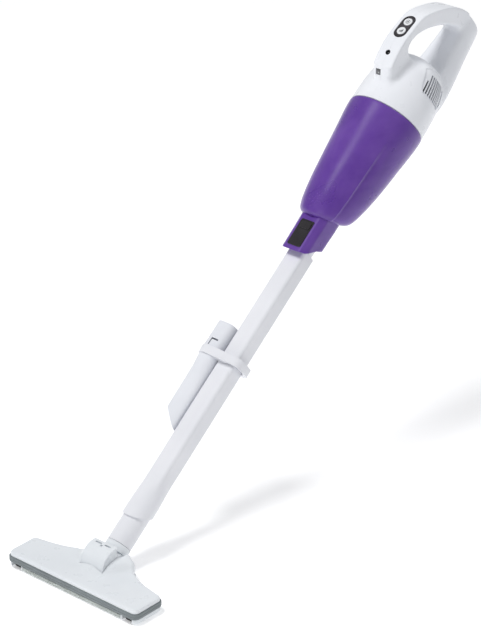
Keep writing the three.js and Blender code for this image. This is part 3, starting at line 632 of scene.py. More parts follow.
# ---- housing ----
SEAM = 692
GRIP_HALF = 16
STEP_FACE = [(719, 44), (719.5, 56), (733.2, 71.6)]
GRIP_TOP = [(733.2, 71.6), (745, 74.6), (760, 77.2), (770, 78.2), (778, 77.9), (790, 76.6),
            (804, 74.6), (818, 71.4), (828, 66.8), (838, 59.6), (850, 49), (862, 37),
            (870, 27.4), (877, 16), (883, 3.4), (887, -9), (889, -22), (889.5, -36),
            (888.4, -46), (884, -52.4), (877, -55.2)]
ARCH_LOW = [(800, -55.2), (780, -30), (735, -30), (719, 30)]
LOOP = [(773.4, 55), (776.4, 59.4), (782, 61.4), (790, 60.9), (802, 56.2), (813.5, 48.6),
        (827, 37), (839.5, 23.8), (850, 8.6), (856.4, -4), (858.6, -12), (856, -17.6),
        (845, -19.4), (820, -18.6), (797, -17.6), (789, 8), (779, 28), (772.6, 47)]
DOME = [(55.4, 692.4), (55.0, 714), (53.2, 736), (49.8, 754), (45.4, 767), (37.6, 778),
        (25.6, 785.6), (12, 789.6), (0, 790.6)]
# along, top, ridge's and side's distance from the middle, underside
SPINE = [(714, -12, 20, 27, -45), (742, -8, 27, 34, -50.4), (775, -12, 26, 34.5, -54.2),
         (800, -15.6, 23, 31.5, -55.4), (825, -16.2, 20, 27.4, -55.6),
         (862, -16.6, 17, 22.6, -55.4), (880.4, -17, 15.6, 20, -54),
         (886.4, -20, 13, 16, -49.6)]


def spine_ring(along, top, ridge, wide, low):
    right = smooth_line([(0, top), (ridge * 0.6, top - 0.8), (ridge - 0.6, top - 2)], 1.5)
    right += smooth_line([(ridge + 0.8, top - 3.0), (wide * 0.93, -28), (wide, -37),
                          (wide * 0.97, -45), (wide * 0.84, -51.6), (wide * 0.5, low),
                          (0, low)], 2.5)
    count = 28  # the same number of points whatever the ring's size
    total = [0.0]
    for a, b in zip(right, right[1:]):
        total.append(total[-1] + (b - a).length)
    even = []
    for k in range(count + 1):
        goal = total[-1] * k / count
        j = max(1, next((i for i, t in enumerate(total) if t >= goal - 1e-6), len(total) - 1))
        t = (goal - total[j - 1]) / max(1e-6, total[j] - total[j - 1])
        even.append(right[j - 1].lerp(right[j], t))
    left = [(-p.x, p.y) for p in even[-2:0:-1]]
    return [(x, along, up) for x, up in [*[(p.x, p.y) for p in even], *left]]


def grown(outline, by):
    """The outline moved outwards by this much, point by point."""
    pts = [Vector(p) for p in outline]
    n = len(pts)
    area = sum(pts[i].x * pts[(i + 1) % n].y - pts[(i + 1) % n].x * pts[i].y for i in range(n))
    side = 1 if area > 0 else -1
    moved = []
    for i in range(n):
        a = (pts[i] - pts[i - 1]).normalized()
        b = (pts[(i + 1) % n] - pts[i]).normalized()
        out = (Vector((a.y, -a.x)) + Vector((b.y, -b.x))).normalized()
        moved.append(pts[i] + out * (by * side))
    return moved


def loop_hole():
    line = smooth_line(LOOP, 2.2, closed=True)
    rings = []
    for x, by in [(-GRIP_HALF - 1, 5.5), (-GRIP_HALF, 4.1), (-GRIP_HALF + 1.2, 2.6),
                  (-GRIP_HALF + 3.4, 1.1), (-GRIP_HALF + 7, 0.2), (GRIP_HALF - 7, 0.2),
                  (GRIP_HALF - 3.4, 1.1), (GRIP_HALF - 1.2, 2.6), (GRIP_HALF, 4.1),
                  (GRIP_HALF + 1, 5.5)]:
        rings.append([(x, p.x, p.y) for p in grown(line, by)])
    return lofted(rings)


def arch_outline():
    top = smooth_line(GRIP_TOP, 2.5)
    step = smooth_line(STEP_FACE[:2], 3)[:-1] + smooth_line(STEP_FACE[1:], 3)[:-1]
    return [tuple(p) for p in step + top] + ARCH_LOW


def dome_body():
    return revolved([(0, SEAM + 0.4), *[tuple(p) for p in smooth_line(DOME, 2.0)]], 144)


def spine_body():
    rows = [Vector(row) for row in SPINE[:-1]]
    line = smooth_line(rows, 4)
    end = [Vector(SPINE[-1])]
    return lofted([spine_ring(*row) for row in [*line, *end]])


def outer_housing():
    dome, spine = dome_body(), spine_body()
    arch = pushed(arch_outline(), -GRIP_HALF, GRIP_HALF, SIDE, rim=2.0, parts=3)
    # rounder upright corners at the step, following its slant
    for side in (-1, 1):
        x = GRIP_HALF - 7
        outline = [(x, -0.6), *arc(x, 7, 7, -90, 0, 12), (GRIP_HALF + 5, 7),
                   (GRIP_HALF + 5, -8), (x, -8)]
        outline = [(side * a, b) for a, b in outline]
        slant = Matrix.Translation((0, 719.4, 56)) @ Matrix.Rotation(-math.radians(41.3), 4, "X")
        upper = pushed(outline, -0.5, 22, slant)
        lower = pushed(outline, 10, 56.5, Matrix.Translation((0, 719.4, 0)))
        carve(arch, upper, lower)
    carve(arch, loop_hole())
    parts = [copy_of(dome), copy_of(arch), copy_of(spine)]
    whole = softened(merged(dome, arch, spine), 1.1, 2)
    melted(whole, parts, 8.5, 75)
    drop(*parts)
    return whole


def hollow():
    """The room inside the shell."""
    inner = [(53.2, SEAM - 1), (52.6, 714), (50.2, 735), (45.8, 752), (40.6, 763.6), (32.4, 773),
             (21, 780), (0, 784)]
    dome = revolved([(0, SEAM - 1), *inner], 96)
    outline = [tuple(p) for p in grown(arch_outline(), -2.8)]
    arch = pushed(outline, -GRIP_HALF + 2.6, GRIP_HALF - 2.6, SIDE)
    loop = [tuple(p) for p in grown(smooth_line(LOOP, 2.2, closed=True), 4.4)]
    carve(arch, pushed(loop, -40, 40, SIDE))
    rows = [(a, top - 2.6, ridge - 2.6, wide - 2.6, low + 2.6)
            for a, top, ridge, wide, low in SPINE[:-1]]
    rows[-1] = (883, *rows[-1][1:])
    return merged(dome, arch, lofted([spine_ring(*row) for row in rows]))


PANEL = (Matrix.Translation((0, 798, 75.05)) @ Matrix.Rotation(math.radians(-8.1), 4, "X"))
FACE = (Matrix.Translation((-5, 727.4, 65))
        @ Matrix.Rotation(math.atan2(15.6, 13.7), 4, "X"))
JACK_ALONG = 754
BUTTON_STEP = 8.3
BUTTON_R = 6.3
VENT_UP = 6.5  # degrees up from straight across
SLOT_COUNT, SLOT_STEP, SLOT_HALF = 9, 5.2, 1.5  # step in degrees round the flank
FIELD_DEPTH = 1.5


def around(x_side, degrees, out):
    """Turns a piece drawn on the right flank to an angle round the stick's axis."""
    turn = Matrix.Rotation(-math.radians(degrees), 4, "Y")
    flip = Matrix.Scale(x_side, 4, (1, 0, 0))
    return flip @ turn @ Matrix.Translation((out, 0, 0))


def vent_tools(x_side):
    """The sunk field over the vent and its nine slots, each running out at its lower end."""
    lid = pushed(round_rect(735, 781, -26, 25, 13, 10), -14, 20, SIDE,
                 move=around(x_side, VENT_UP, 50))
    sunk = [(p.x - FIELD_DEPTH, p.y) for p in smooth_line(DOME, 2.0)[1:-2]]
    carve(lid, revolved([(0, 700), *sunk, (0, 788)], 144))
    tools = [lid]
    for k in range(SLOT_COUNT):
        turn = VENT_UP + SLOT_STEP * ((SLOT_COUNT - 1) / 2 - k)
        end = 757 if k == 0 else 769
        outline = [(741, -16), (741, -3), (733, 4.5), (end + 1.2, 4.5), (end, -1.4),
                   (end - 1.5, -16)]
        tools.append(pushed(outline, -SLOT_HALF, SLOT_HALF, OUTWARD,
                            move=around(x_side, turn, 50.5)))
    return tools


def button_holes():
    """The pocket of the button panel and the wells under its two keys."""
    tools = [pushed(pill(9.9, 19.9), -1.7, 12, PLAN, move=PANEL)]
    tools += [post(7.4, -9, 1, 0, s * BUTTON_STEP, move=PANEL) for s in (-1, 1)]
    return tools


def housing():
    shell = outer_housing()
    carve(shell, hollow())
    carve(shell, *button_holes())
    carve(shell, post(3.7, 60, 95, 0, JACK_ALONG),
          pushed(round_rect(-4.1, 4.1, -4.4, 4.4, 0.6, 4), -15, 15, PLAN, move=FACE))
    for s in (-1, 1):
        for tool in vent_tools(s):
            carve(shell, tool)
    for name, s in (("housing_left", -1), ("housing_right", 1)):
        half = split_at_seam(copy_of(shell), s)
        finished(half, f"shell_{name[8:]}", STICK, "housing", WHITE, [name],
                 sharp=38)
    drop(shell)


def split_at_seam(shell, side):
    """Keeps one side of the middle seam and closes the cut."""
    bm = bmesh.new()
    bm.from_mesh(shell.data)
    whole = bm.verts[:] + bm.edges[:] + bm.faces[:]
    bmesh.ops.bisect_plane(bm, geom=whole, dist=1e-5, plane_co=(side * 0.06, 0, 0),
                           plane_no=(side, 0, 0), clear_inner=True)
    cut = [e for e in bm.edges if e.is_boundary]
    bmesh.ops.triangle_fill(bm, edges=cut, use_beauty=True, use_dissolve=False,
                            normal=(-side, 0, 0))
    bm.to_mesh(shell.data)
    bm.free()
    return shell


def vent_screens():
    """Black gauze behind the slots of each flank."""
    for label, side in (("left", -1), ("right", 1)):
        gauze = revolved([(47.2, 737), (47.9, 737), (46.6, 745), (44, 755), (39.6, 766.5),
                          (38.9, 766), (43.3, 754.6), (45.9, 744.6), (47.2, 737)], 120)
        carve(gauze, block(-26, 80, 700, 800, -80, 80) if side < 0
              else block(-80, 26, 700, 800, -80, 80))
        finished(gauze, f"gauze_{label}", STICK, "housing", MESH_BLACK,
                 [f"vent_screen_{label}"])


# ---- controls on the grip ----
def controls():
    plate = pushed(pill(9.6, 19.6), -1.6, 0.35, PLAN, rim=0.5, parts=3, move=PANEL)
    for s in (-1, 1):
        carve(plate, post(BUTTON_R + 0.3, -5, 5, 0, s * BUTTON_STEP, move=PANEL))
    finished(plate, "panel_plate", STICK, "housing", BLACK, ["button_panel"])
    for node, s in (("power_button", 1), ("mode_button", -1)):
        dish = [(0, -2.6), (BUTTON_R, -2.6), (BUTTON_R, 0.2), (BUTTON_R - 0.1, 0.62),
                (BUTTON_R - 0.4, 0.9),
                (5.7, 1.0), (4.4, 0.86), (2.4, 0.7), (0, 0.66)]
        cap = revolved(dish, 96, PANEL @ Matrix.Translation((0, s * BUTTON_STEP, 0)) @ UPWARD)
        finished(cap, node[:-7] + "_key", STICK, node, KEY_WHITE, [node])
    # a ring with a dot on the switch, three rising bars on the mode key
    lift = 0.66
    ring = revolved([(2.5, lift - 0.2), (3.25, lift - 0.2), (3.25, lift + 0.12),
                     (2.5, lift + 0.12), (2.5, lift - 0.2)], 64,
                    PANEL @ Matrix.Translation((0, BUTTON_STEP, 0)) @ UPWARD)
    dot = revolved([(0, lift - 0.2), (1.15, lift - 0.2), (1.15, lift + 0.08), (0, lift + 0.08)],
                   40, PANEL @ Matrix.Translation((0, BUTTON_STEP, 0)) @ UPWARD)
    mark = merged(ring, dot)
    finished(mark, "power_mark", STICK, "power_button", INK)
    bars = [pushed(round_rect(x - 0.42, x + 0.42, -2.6 - BUTTON_STEP, -2.6 + tall - BUTTON_STEP,
                              0.3, 3), lift - 0.2, lift + 0.16, PLAN, move=PANEL)
            for x, tall in ((-2.2, 2.6), (-0.75, 3.6), (0.75, 4.6), (2.2, 5.4))]
    finished(merged(*bars), "mode_mark", STICK, "mode_button", INK)


def socket_and_lamp():
    up = 76.2
    tube = [(2.5, up - 9), (2.5, up - 0.5), (2.8, up), (3.3, up), (3.5, up - 0.4),
            (3.5, up - 9), (2.5, up - 9)]
    rim = revolved(tube, 72, Matrix.Translation((0, JACK_ALONG, 0)) @ UPWARD)
    tip = revolved([(0, up - 9), (0.95, up - 9), (0.95, up - 1.6), (0.7, up - 1.2),
                    (0, up - 1.1)], 40, Matrix.Translation((0, JACK_ALONG, 0)) @ UPWARD)
    finished(rim, "socket_rim", STICK, "housing", RUBBER, ["charging_jack"])
    finished(tip, "socket_tip", STICK, "housing", STEEL)
    glass = pushed(round_rect(-3.95, 3.95, -4.25, 4.25, 0.6, 4), -3.6, -0.7, PLAN, rim=0.35,
                   move=FACE)
    back = pushed(round_rect(-4.8, 4.8, -5, 5, 0.4, 3), -4.8, -3.4, PLAN, move=FACE)
    finished(merged(glass, back), "lamp_window", STICK, "housing", LENS,
             ["work_light"])
    lamp = revolved([(0, -1.3), (1.15, -1.3), (1.15, -1.0), (0.8, -0.55), (0, -0.4)], 48,
                    FACE @ Matrix.Translation((0.4, -1.3, 0)) @ UPWARD)
    finished(lamp, "lamp_diode", STICK, "housing", CLEAR)


# ---- capsule ----
BOTTOM_SLANT = 0.42  # how far the bottom drops for each millimetre towards the upper side
CAPSULE = [(20, 525.4), (26, 526), (31.4, 528.4), (35, 533), (38, 541), (41.2, 555),
           (44.8, 578), (48.4, 610), (51.4, 640), (53.8, 662), (55.4, 680), (55.8, 691.6)]
CAPSULE_IN = [(21, 529.4), (28.4, 531), (32.4, 536), (35.4, 543), (38.8, 556.6), (42.4, 579),
              (46, 611), (49.2, 641), (51.6, 662), (53.2, 679), (53.6, 691.6)]
CREASE = 56  # degrees round from the top to where the flanks fall away


def bowl():
    out = [(p.x, p.y) for p in smooth_line(CAPSULE, 2.4)]
    into = [(p.x, p.y) for p in smooth_line(CAPSULE_IN, 4)]
    bm = bmesh.new()
    pairs = [*out[:-1], (55.6, 690.9), (55.2, 691.6), *into[::-1], (12.2, 530), (12.2, 526),
             out[0]]
    line = [bm.verts.new((0, along, r)) for r, along in pairs]
    edges = [bm.edges.new(pair) for pair in zip(line, line[1:])]
    bmesh.ops.spin(bm, geom=line + edges, cent=(0, 0, 0), axis=(0, 1, 0), dvec=(0, 0, 0),
                   angle=TURN, steps=180, use_merge=True, use_duplicate=False)
    in_room = inside_of([(0, 500), (15, 528), *[(r + 1.1, a) for r, a in into], (0, 700)])
    for v in bm.verts:
        r = math.hypot(v.co.x, v.co.z)
        if r < 22 or v.co.y > 688 or in_room(v.co):
            continue
        angle = abs(math.degrees(math.atan2(v.co.x, v.co.z)))
        fade = ease((675 - v.co.y) / 70)
        past = angle - CREASE
        drop_by = 1.5 * fade * (ease(past / 3.5) * (1 - ease((past - 8) / 62)) if past > 0 else 0)
        lift = 0.35 * fade * (ease((past + 16) / 16) if past <= 0 else 1 - ease(past / 3.5))
        k = (r - drop_by + lift) / r
        v.co.x *= k
        v.co.z *= k
    # the bottom slants: it reaches lower on the side that looks up
    for v in bm.verts:
        v.co.y -= BOTTOM_SLANT * v.co.z * ease((625 - v.co.y) / 90)
    return body(bm)


def inside_of(pairs):
    """Tells whether a point is inside a shape turned from [radius, along] pairs."""
    table = [(a, r) for r, a in pairs]

    def inside(p):
        r = math.hypot(p.x, p.z)
        for (a0, r0), (a1, r1) in zip(table, table[1:]):
            if a0 <= p.y <= a1:
                return r < r0 + (r1 - r0) * (p.y - a0) / max(1e-6, a1 - a0)
        return False

    return inside


def neck_ring(along, wide, top, low):
    right = [(0, top), (0.3 * wide, top), (0.6 * wide, top - 0.1), (0.66 * wide, top - 0.5),
             (0.7 * wide, top - 1.2), (0.8 * wide, top - 3.2), (0.9 * wide, top - 5.6),
             (0.965 * wide, top - 7.4), (0.995 * wide, top - 9), (wide, top - 11), (wide, 2),
             (wide, -2.5)]
    right += [(wide * math.cos(a), -2.5 - low * math.sin(a))
              for a in [math.pi / 2 * k / 10 for k in range(1, 11)]]
    left = [(-x, up) for x, up in right[-2:0:-1]]
    return [(x, along, up) for x, up in [*right, *left]]


def neck():
    rows = [(440, 21.4, 26, 16.4), (505, 22, 26.6, 17.5), (520, 22.4, 26.8, 18),
            (529, 22.4, 26.8, 18)]
    skin = lofted([neck_ring(*p) for p in smooth_line(rows, 8)])
    mouth = pushed([(430, 60), (432, 60), (463, 24), (463.5, 21), (484, -2.5), (487, -12),
                    (487, -40), (430, -40)], -40, 40, SIDE)
    carve(skin, mouth)
    return skin


def capsule():
    cup, stem = bowl(), neck()
    carve(stem, revolved([(0, 529), (21, 529), *[(r, a) for r, a in CAPSULE_IN[1:4]],
                          (0, 549)], 96))
    inlet = carve(rod(14.6, 528, 560), rod(12, 500, 570))
    whole = merged(cup, stem, inlet)
    carve(whole, rod(14.2, 400, 514), rod(12, 500, 570),
          pushed(round_rect(-14.6, 14.6, -14.6, 14.6, 5.8), 440, 471.6, SECTION),
          pushed(round_rect(-11.4, 11.4, 467.4, 508.4, 2.6), 24.4, 40, PLAN))
    lugs = [block(s * 9 - 1.4, s * 9 + 1.4, 548, 565.6, 11.4, 18.4) for s in (-1, 1)]
    whole = merged(whole, *lugs)
    carve(whole, pin(1.35, -12, 12, 563, 16), rod(12, 500, 570))
    finished(whole, "capsule_shell", STICK, "capsule", PURPLE, ["dust_capsule"],
             sharp=30)
    cover = pushed(round_rect(-11.1, 11.1, 467.7, 508.1, 2.4), 24.7, 27.2, PLAN, rim=0.6)
    pad = pushed(round_rect(-8.8, 8.8, 494.6, 505.8, 2.4), 26.6, 28.0, PLAN, rim=0.55)
    groove = carve(pushed(round_rect(-9.6, 9.6, 493.6, 506.8, 2.8), 26.7, 28, PLAN),
                   pushed(round_rect(-8.9, 8.9, 494.5, 505.9, 2.4), 26, 29, PLAN))
    finished(merged(carve(cover, groove), pad), "inlet_cover", STICK, "capsule",
             BLACK, ["neck_panel"])


# ---- wand, clip and tools ----
AROUND = 96


def round_point(k, r):
    a = TURN * (k + 0.5) / AROUND
    return r * math.cos(a), r * math.sin(a)


def square_point(k, half, corner):
    """A point of a rounded square at the same angle."""
    a = TURN * (k + 0.5) / AROUND
    c, s = math.cos(a), math.sin(a)
    big, small = max(abs(c), abs(s)), min(abs(c), abs(s))
    flat = half - corner
    if half * small / big <= flat:
        r = half / big
    else:
        r = flat * (big + small) + math.sqrt(corner**2 - flat**2 * (big - small) ** 2)
    return r * c, r * s


def ring_at(along, r=None, half=None, corner=4.2, mix=0.0):
    """A ring round the stick: round, a rounded square, or something between."""
    ring = []
    for k in range(AROUND):
        a = round_point(k, r) if r is not None else (0, 0)
        b = square_point(k, half, corner) if half is not None else a
        if r is None:
            a = b
        ring.append((a[0] + (b[0] - a[0]) * mix, along, a[1] + (b[1] - a[1]) * mix))
    return ring


def cut_end(tube, at, facing):
    """Cuts a tube's lower end off along a plane and closes its wall there."""
    bm = bmesh.new()
    bm.from_mesh(tube.data)
    whole = bm.verts[:] + bm.edges[:] + bm.faces[:]
    bmesh.ops.bisect_plane(bm, geom=whole, dist=1e-4, plane_co=at, plane_no=facing,
                           clear_inner=True)
    bmesh.ops.bridge_loops(bm, edges=[e for e in bm.edges if e.is_boundary])
    bmesh.ops.recalc_face_normals(bm, faces=bm.faces)
    bm.to_mesh(tube.data)
    bm.free()


def wand():
    sleeve = smooth_line([(19.75, 20), (19.7, 40), (19.5, 64), (18.9, 84), (18.2, 98),
                          (17.6, 112), (17.4, 124)], 3)
    rings = [ring_at(p.y, p.x, 14, mix=ease((p.y - 82) / 40)) for p in sleeve]
    rings += [ring_at(a, half=PIPE_HALF) for a in (128, 240, 380, 469.8)]
    rings += [ring_at(470.6, half=13.7, corner=5.3), ring_at(471, half=13.2, corner=5)]
    rings += [ring_at(a, r) for r, a in ((13.9, 471.02), (13.9, 509.6), (13.5, 510.6),
                                         (13, 511), (12.2, 511), (12, 510.4), (12, 96),
                                         (17.45, 95.5), (17.45, 40), (17.6, 20))]
    pipe = lofted(rings, ends=False)
    cut_end(pipe, (0, 53, 0), (0, 0.894, 0.447))
    finished(pipe, "wand_pipe", STICK, "wand", PIPE_WHITE, ["wand"], rim=0.35,
             rim_from=60)


TOOL_X, TOOL_UP, TOOL_R = -30.6, 8.4, 14.9  # the stowed tool's axis and its round end
PIPE_HALF = 14
CLIP = (284, 296)  # along the pipe


def clip():
    low, high = CLIP
    half = PIPE_HALF
    belt = [*arc(TOOL_X, TOOL_UP, TOOL_R + 3, 82, 268, 40), *arc(11.4, -6.6, 12.4, -90, 0, 12),
            *arc(11.4, 8.4, 12.4, 0, 82, 14)]
    outer = pushed(belt, low, high, SECTION)
    room = merged(pushed(round_rect(-half - 0.3, half + 0.3, -half - 0.3, half + 0.3, 5.6, 10),
                         low - 2, high + 2, SECTION),
                  pushed(round_rect(-1, 21.2, -9, 18.2, 8.8, 12), low - 2, high + 2, SECTION))
    mouth = pushed(round_rect(-64, TOOL_X - 10, 1, 15, 1, 4), low - 2, high + 2, SECTION)
    carve(outer, room, rod(TOOL_R + 0.35, low - 2, high + 2, TOOL_X, TOOL_UP, 128), mouth)
    finished(outer, "holder_hoops", STICK, "clip", PIPE_WHITE, ["holder_clip"],
             rim=1.1, rim_parts=4, rim_from=50)


def crevice_tool():
    def ring(along, a, b, up, power):
        points = []
        for k in range(AROUND):
            t = TURN * k / AROUND
            c, s = math.cos(t), math.sin(t)
            k_out = (abs(c) ** power + abs(s) ** power) ** (-1 / power)
            points.append((TOOL_X + a * c * k_out, along, up + b * s * k_out))
        return points

    r, up, top = TOOL_R, TOOL_UP, 335.2
    rows = smooth_line([(160, r - 0.6, 7.0, up + 1.2, 3.0), (200, r - 0.5, 7.8, up + 1, 2.9),
                        (235, r - 0.3, 9.0, up + 0.7, 2.7), (262, r - 0.2, 11.6, up + 0.3, 2.4),
                        (276, r, 14, up, 2.5), (284, r, r, up, 2.8),
                        (306, r - 0.4, r - 0.4, up, 3.2),
                        (top - 1.5, r - 0.6, r - 0.6, up, 3.3)], 5)
    outer = [ring(*p) for p in rows]
    outer += [ring(top - 0.6, r - 0.8, r - 0.8, up, 3.3), ring(top, r - 1.3, r - 1.3, up, 3.3)]
    inner = [ring(top, r - 2.1, r - 2.1, up, 3.3), ring(top - 0.4, r - 2.4, r - 2.4, up, 3.3)]
    inner += [ring(a, w - 1.9, t - 1.9, h, power) for a, w, t, h, power in rows[::-1]]
    shell = lofted(outer + inner, ends=False)
    slant = math.radians(44.4)
    cut_end(shell, (TOOL_X + r, 173.5, 0), (math.sin(slant), math.cos(slant), 0))
    carve(shell, carve(block(TOOL_X - 5, TOOL_X + 6.4, 297.6, 308.4, 14, 40),
                       block(TOOL_X - 3.2, TOOL_X + 8, 296, 306, 10, 44)))
    finished(shell, "crevice_nozzle", STICK, "crevice_tool", TOOL_WHITE,
             ["crevice_tool"], rim=0.35, rim_from=55)


# ---- floor head ----
HEAD_HALF, HEAD_DEPTH = 114.5, 27
PIVOT_Y, PIVOT_Z = 39, 20.8
DRUM_R, DRUM_HALF = 26.4, 19.8
HUMP_SIZE, HUMP_AT = (44, 40, 24), (0, 44, 12)
NOTCH = 20.5
BAND_LOW, BAND_HIGH = 7, 15
SCREWS = [(-60, 14), (60, 14), (-26, 56), (26, 56)]
WHEEL_X, WHEEL_Y, WHEEL_Z = 98, -17.8, 4


def bezier(a, b, c, d, parts=12):
    a, b, c, d = (Vector(p) for p in (a, b, c, d))
    return [tuple(a * (1 - t) ** 3 + b * (3 * t * (1 - t) ** 2) + c * (3 * t * t * (1 - t))
                  + d * t**3) for t in [k / parts for k in range(1, parts + 1)]]


def head_outline():
    w, d, r = HEAD_HALF, HEAD_DEPTH, 9
    right = arc(w - r, -d + r, r, -90, 0, 10) + arc(w - r, d - r, r, 0, 90, 10)
    right += bezier((w - r, d), (78, 31), (52, 38), (44, 50))
    right += bezier((44, 50), (40, 57), (38, 61.5), (31, 61.5))
    right += [(NOTCH, 61.5), (NOTCH, 45.5)]
    return right + [(-x, y) for x, y in right[::-1]]


def slab(inset, low, high, rim=0.0, parts=4):
    """A plate with the floor head's outline, drawn in by the inset."""
    return pushed([tuple(p) for p in grown(head_outline(), -inset)], low, high, PLAN, rim=rim,
                  parts=parts)


def head_cover():
    low = BAND_HIGH + 0.25
    plate = slab(1.6, low - 3, 21, rim=3.4, parts=6)
    hump = carve(ball(1, HUMP_SIZE, HUMP_AT), slab(1.8, 0, 60), how="INTERSECT")
    parts = [copy_of(plate), copy_of(hump)]
    cover = softened(merged(plate, hump), 0.9, 6)
    melted(cover, parts, 8, 90)
    drop(*parts)
    carve(cover, block(-130, 130, -50, 120, -60, low))
    pocket = merged(pin(DRUM_R + 0.4, -DRUM_HALF - 0.4, DRUM_HALF + 0.4, PIVOT_Y, PIVOT_Z, 96),
                    block(-DRUM_HALF - 0.4, DRUM_HALF + 0.4, PIVOT_Y, 90, 2, 60),
                    block(-DRUM_HALF - 0.4, DRUM_HALF + 0.4, 13, PIVOT_Y, -5, PIVOT_Z))
    inside = ball(1, [a - 2.6 for a in HUMP_SIZE], HUMP_AT)
    room = merged(slab(4.6, low - 5, 18.2), carve(inside, slab(4.6, 0, 60), how="INTERSECT"))
    # cheeks inside the hump that hold the two pivot pins
    near, far = DRUM_HALF + 0.4, DRUM_HALF + 3.4
    ears = [block(x0, x1, PIVOT_Y - 13, PIVOT_Y + 13, 4.6, 24)
            for x0, x1 in ((-far, -near), (near, far))]
    carve(cover, pocket, room)
    cover = merged(cover, *ears)
    carve(cover, pin(4.3, -DRUM_HALF - 9, DRUM_HALF + 9, PIVOT_Y, PIVOT_Z))
    finished(cover, "head_shell", UPRIGHT, "floor_head", HEAD_WHITE,
             ["head_cover"], sharp=36)


def sole():
    base = merged(slab(1.6, 0, BAND_LOW - 0.4, rim=1.2, parts=3),
                  slab(5.4, BAND_LOW - 1.2, BAND_HIGH - 0.4))
    tools = [block(-21.8, 21.8, 12, 90, 3, 40),
             pushed(round_rect(-106.4, 106.4, -18.8, 18.8, 3), 3, BAND_HIGH + 1),
             pushed(round_rect(-88, 88, -13, -3, 3), -1, 4),
             block(-HEAD_HALF - 1, -80, -7.6, -3.6, -1, 2.2),
             block(80, HEAD_HALF + 1, -7.6, -3.6, -1, 2.2)]
    for s in (-1, 1):
        tools.append(block(s * WHEEL_X - 8.4, s * WHEEL_X + 8.4, -HEAD_DEPTH - 2, -8, -2, 12.2))
    for x, y in SCREWS:
        tools += [post(3, -1, 1.4, x, y), post(1.5, -1, 5, x, y)]
    for node in ("front_lip", "lint_strip_front", "lint_strip_rear"):
        low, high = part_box(node)
        tools.append(pushed(round_rect(low.x / MM - 0.3, high.x / MM + 0.3, low.y / MM - 0.3,
                                       high.y / MM + 0.3, 1.2), -2, high.z / MM + 0.25))
    for tool in tools:
        carve(base, tool)
    finished(base, "sole", UPRIGHT, "floor_head", HEAD_WHITE, ["sole_plate"],
             sharp=36)


def lip_strip():
    """Ribbed see-through strip along the front, between the two wheels."""
    strip = block(-87, 87, -26.1, -24.9, 0.9, 6.2, rim=0.25)
    ribs = [block(x - 0.8, x + 0.8, -26.6, -25.7, 1.8, 5.2) for x in range(-80, 81, 8)]
    carve(strip, merged(*ribs))
    finished(strip, "lip_strip", UPRIGHT, "floor_head", CLEAR)


def bumper():
    outer = slab(0, BAND_LOW, BAND_HIGH, rim=1.3, parts=4)
    carve(outer, slab(5, BAND_LOW - 1, BAND_HIGH + 1), block(-70, 70, 31, 90, 0, 40))
    # a fine line where the soft lip meets the band's back
    groove = carve(slab(-2, 10.7, 11.3), slab(0.45, 10, 12))
    carve(outer, groove)
    for s in (-1, 1):
        carve(outer, block(s * WHEEL_X - 8.4, s * WHEEL_X + 8.4, -23.4, -10, 0, 10))
    finished(outer, "bumper", UPRIGHT, "floor_head", BAND, ["bumper_band"], sharp=36)


def sole_screws():
    for i, (x, y) in enumerate(SCREWS, 1):
        pairs = [(0, 0.25), (1.9, 0.25), (2.4, 0.42), (2.6, 0.75), (2.6, 1.15), (1.2, 1.15),
                 (1.2, 2.9), (0, 2.9)]
        screw = revolved(pairs, 48, Matrix.Translation((x, y, 0)) @ UPWARD)
        cross = merged(block(x - 1.7, x + 1.7, y - 0.35, y + 0.35, -0.5, 0.75),
                       block(x - 0.35, x + 0.35, y - 1.7, y + 1.7, -0.5, 0.75))
        carve(screw, cross)
        finished(screw, f"cross_screw_{i}", UPRIGHT, "floor_head", STEEL,
                 [f"sole_screw_{i}"])


def wheels():
    for label, s in (("left", -1), ("right", 1)):
        x = s * WHEEL_X
        profile = [(1.9, -5.2), (2.6, -5.2), (2.9, -4.7), (3.9, -4.7), (4.2, -5.2), (4.7, -5.1),
                   (5.1, -4.6), (5.2, -3.8), (5.2, -1.0), (4.95, -0.8), (4.95, -0.3), (5.2, 0),
                   (4.95, 0.3), (4.95, 0.8), (5.2, 1.0), (5.2, 3.8), (5.1, 4.6), (4.7, 5.1),
                   (4.2, 5.2), (3.9, 4.7), (2.9, 4.7), (2.6, 5.2), (1.9, 5.2), (1.9, -5.2)]
        tyre = revolved(profile, 72, Matrix.Translation((x, WHEEL_Y, WHEEL_Z)) @ ACROSS)
        finished(tyre, f"roller_{label}", UPRIGHT, f"wheel_{label}", RUBBER,
                 [f"front_wheel_{label}"])


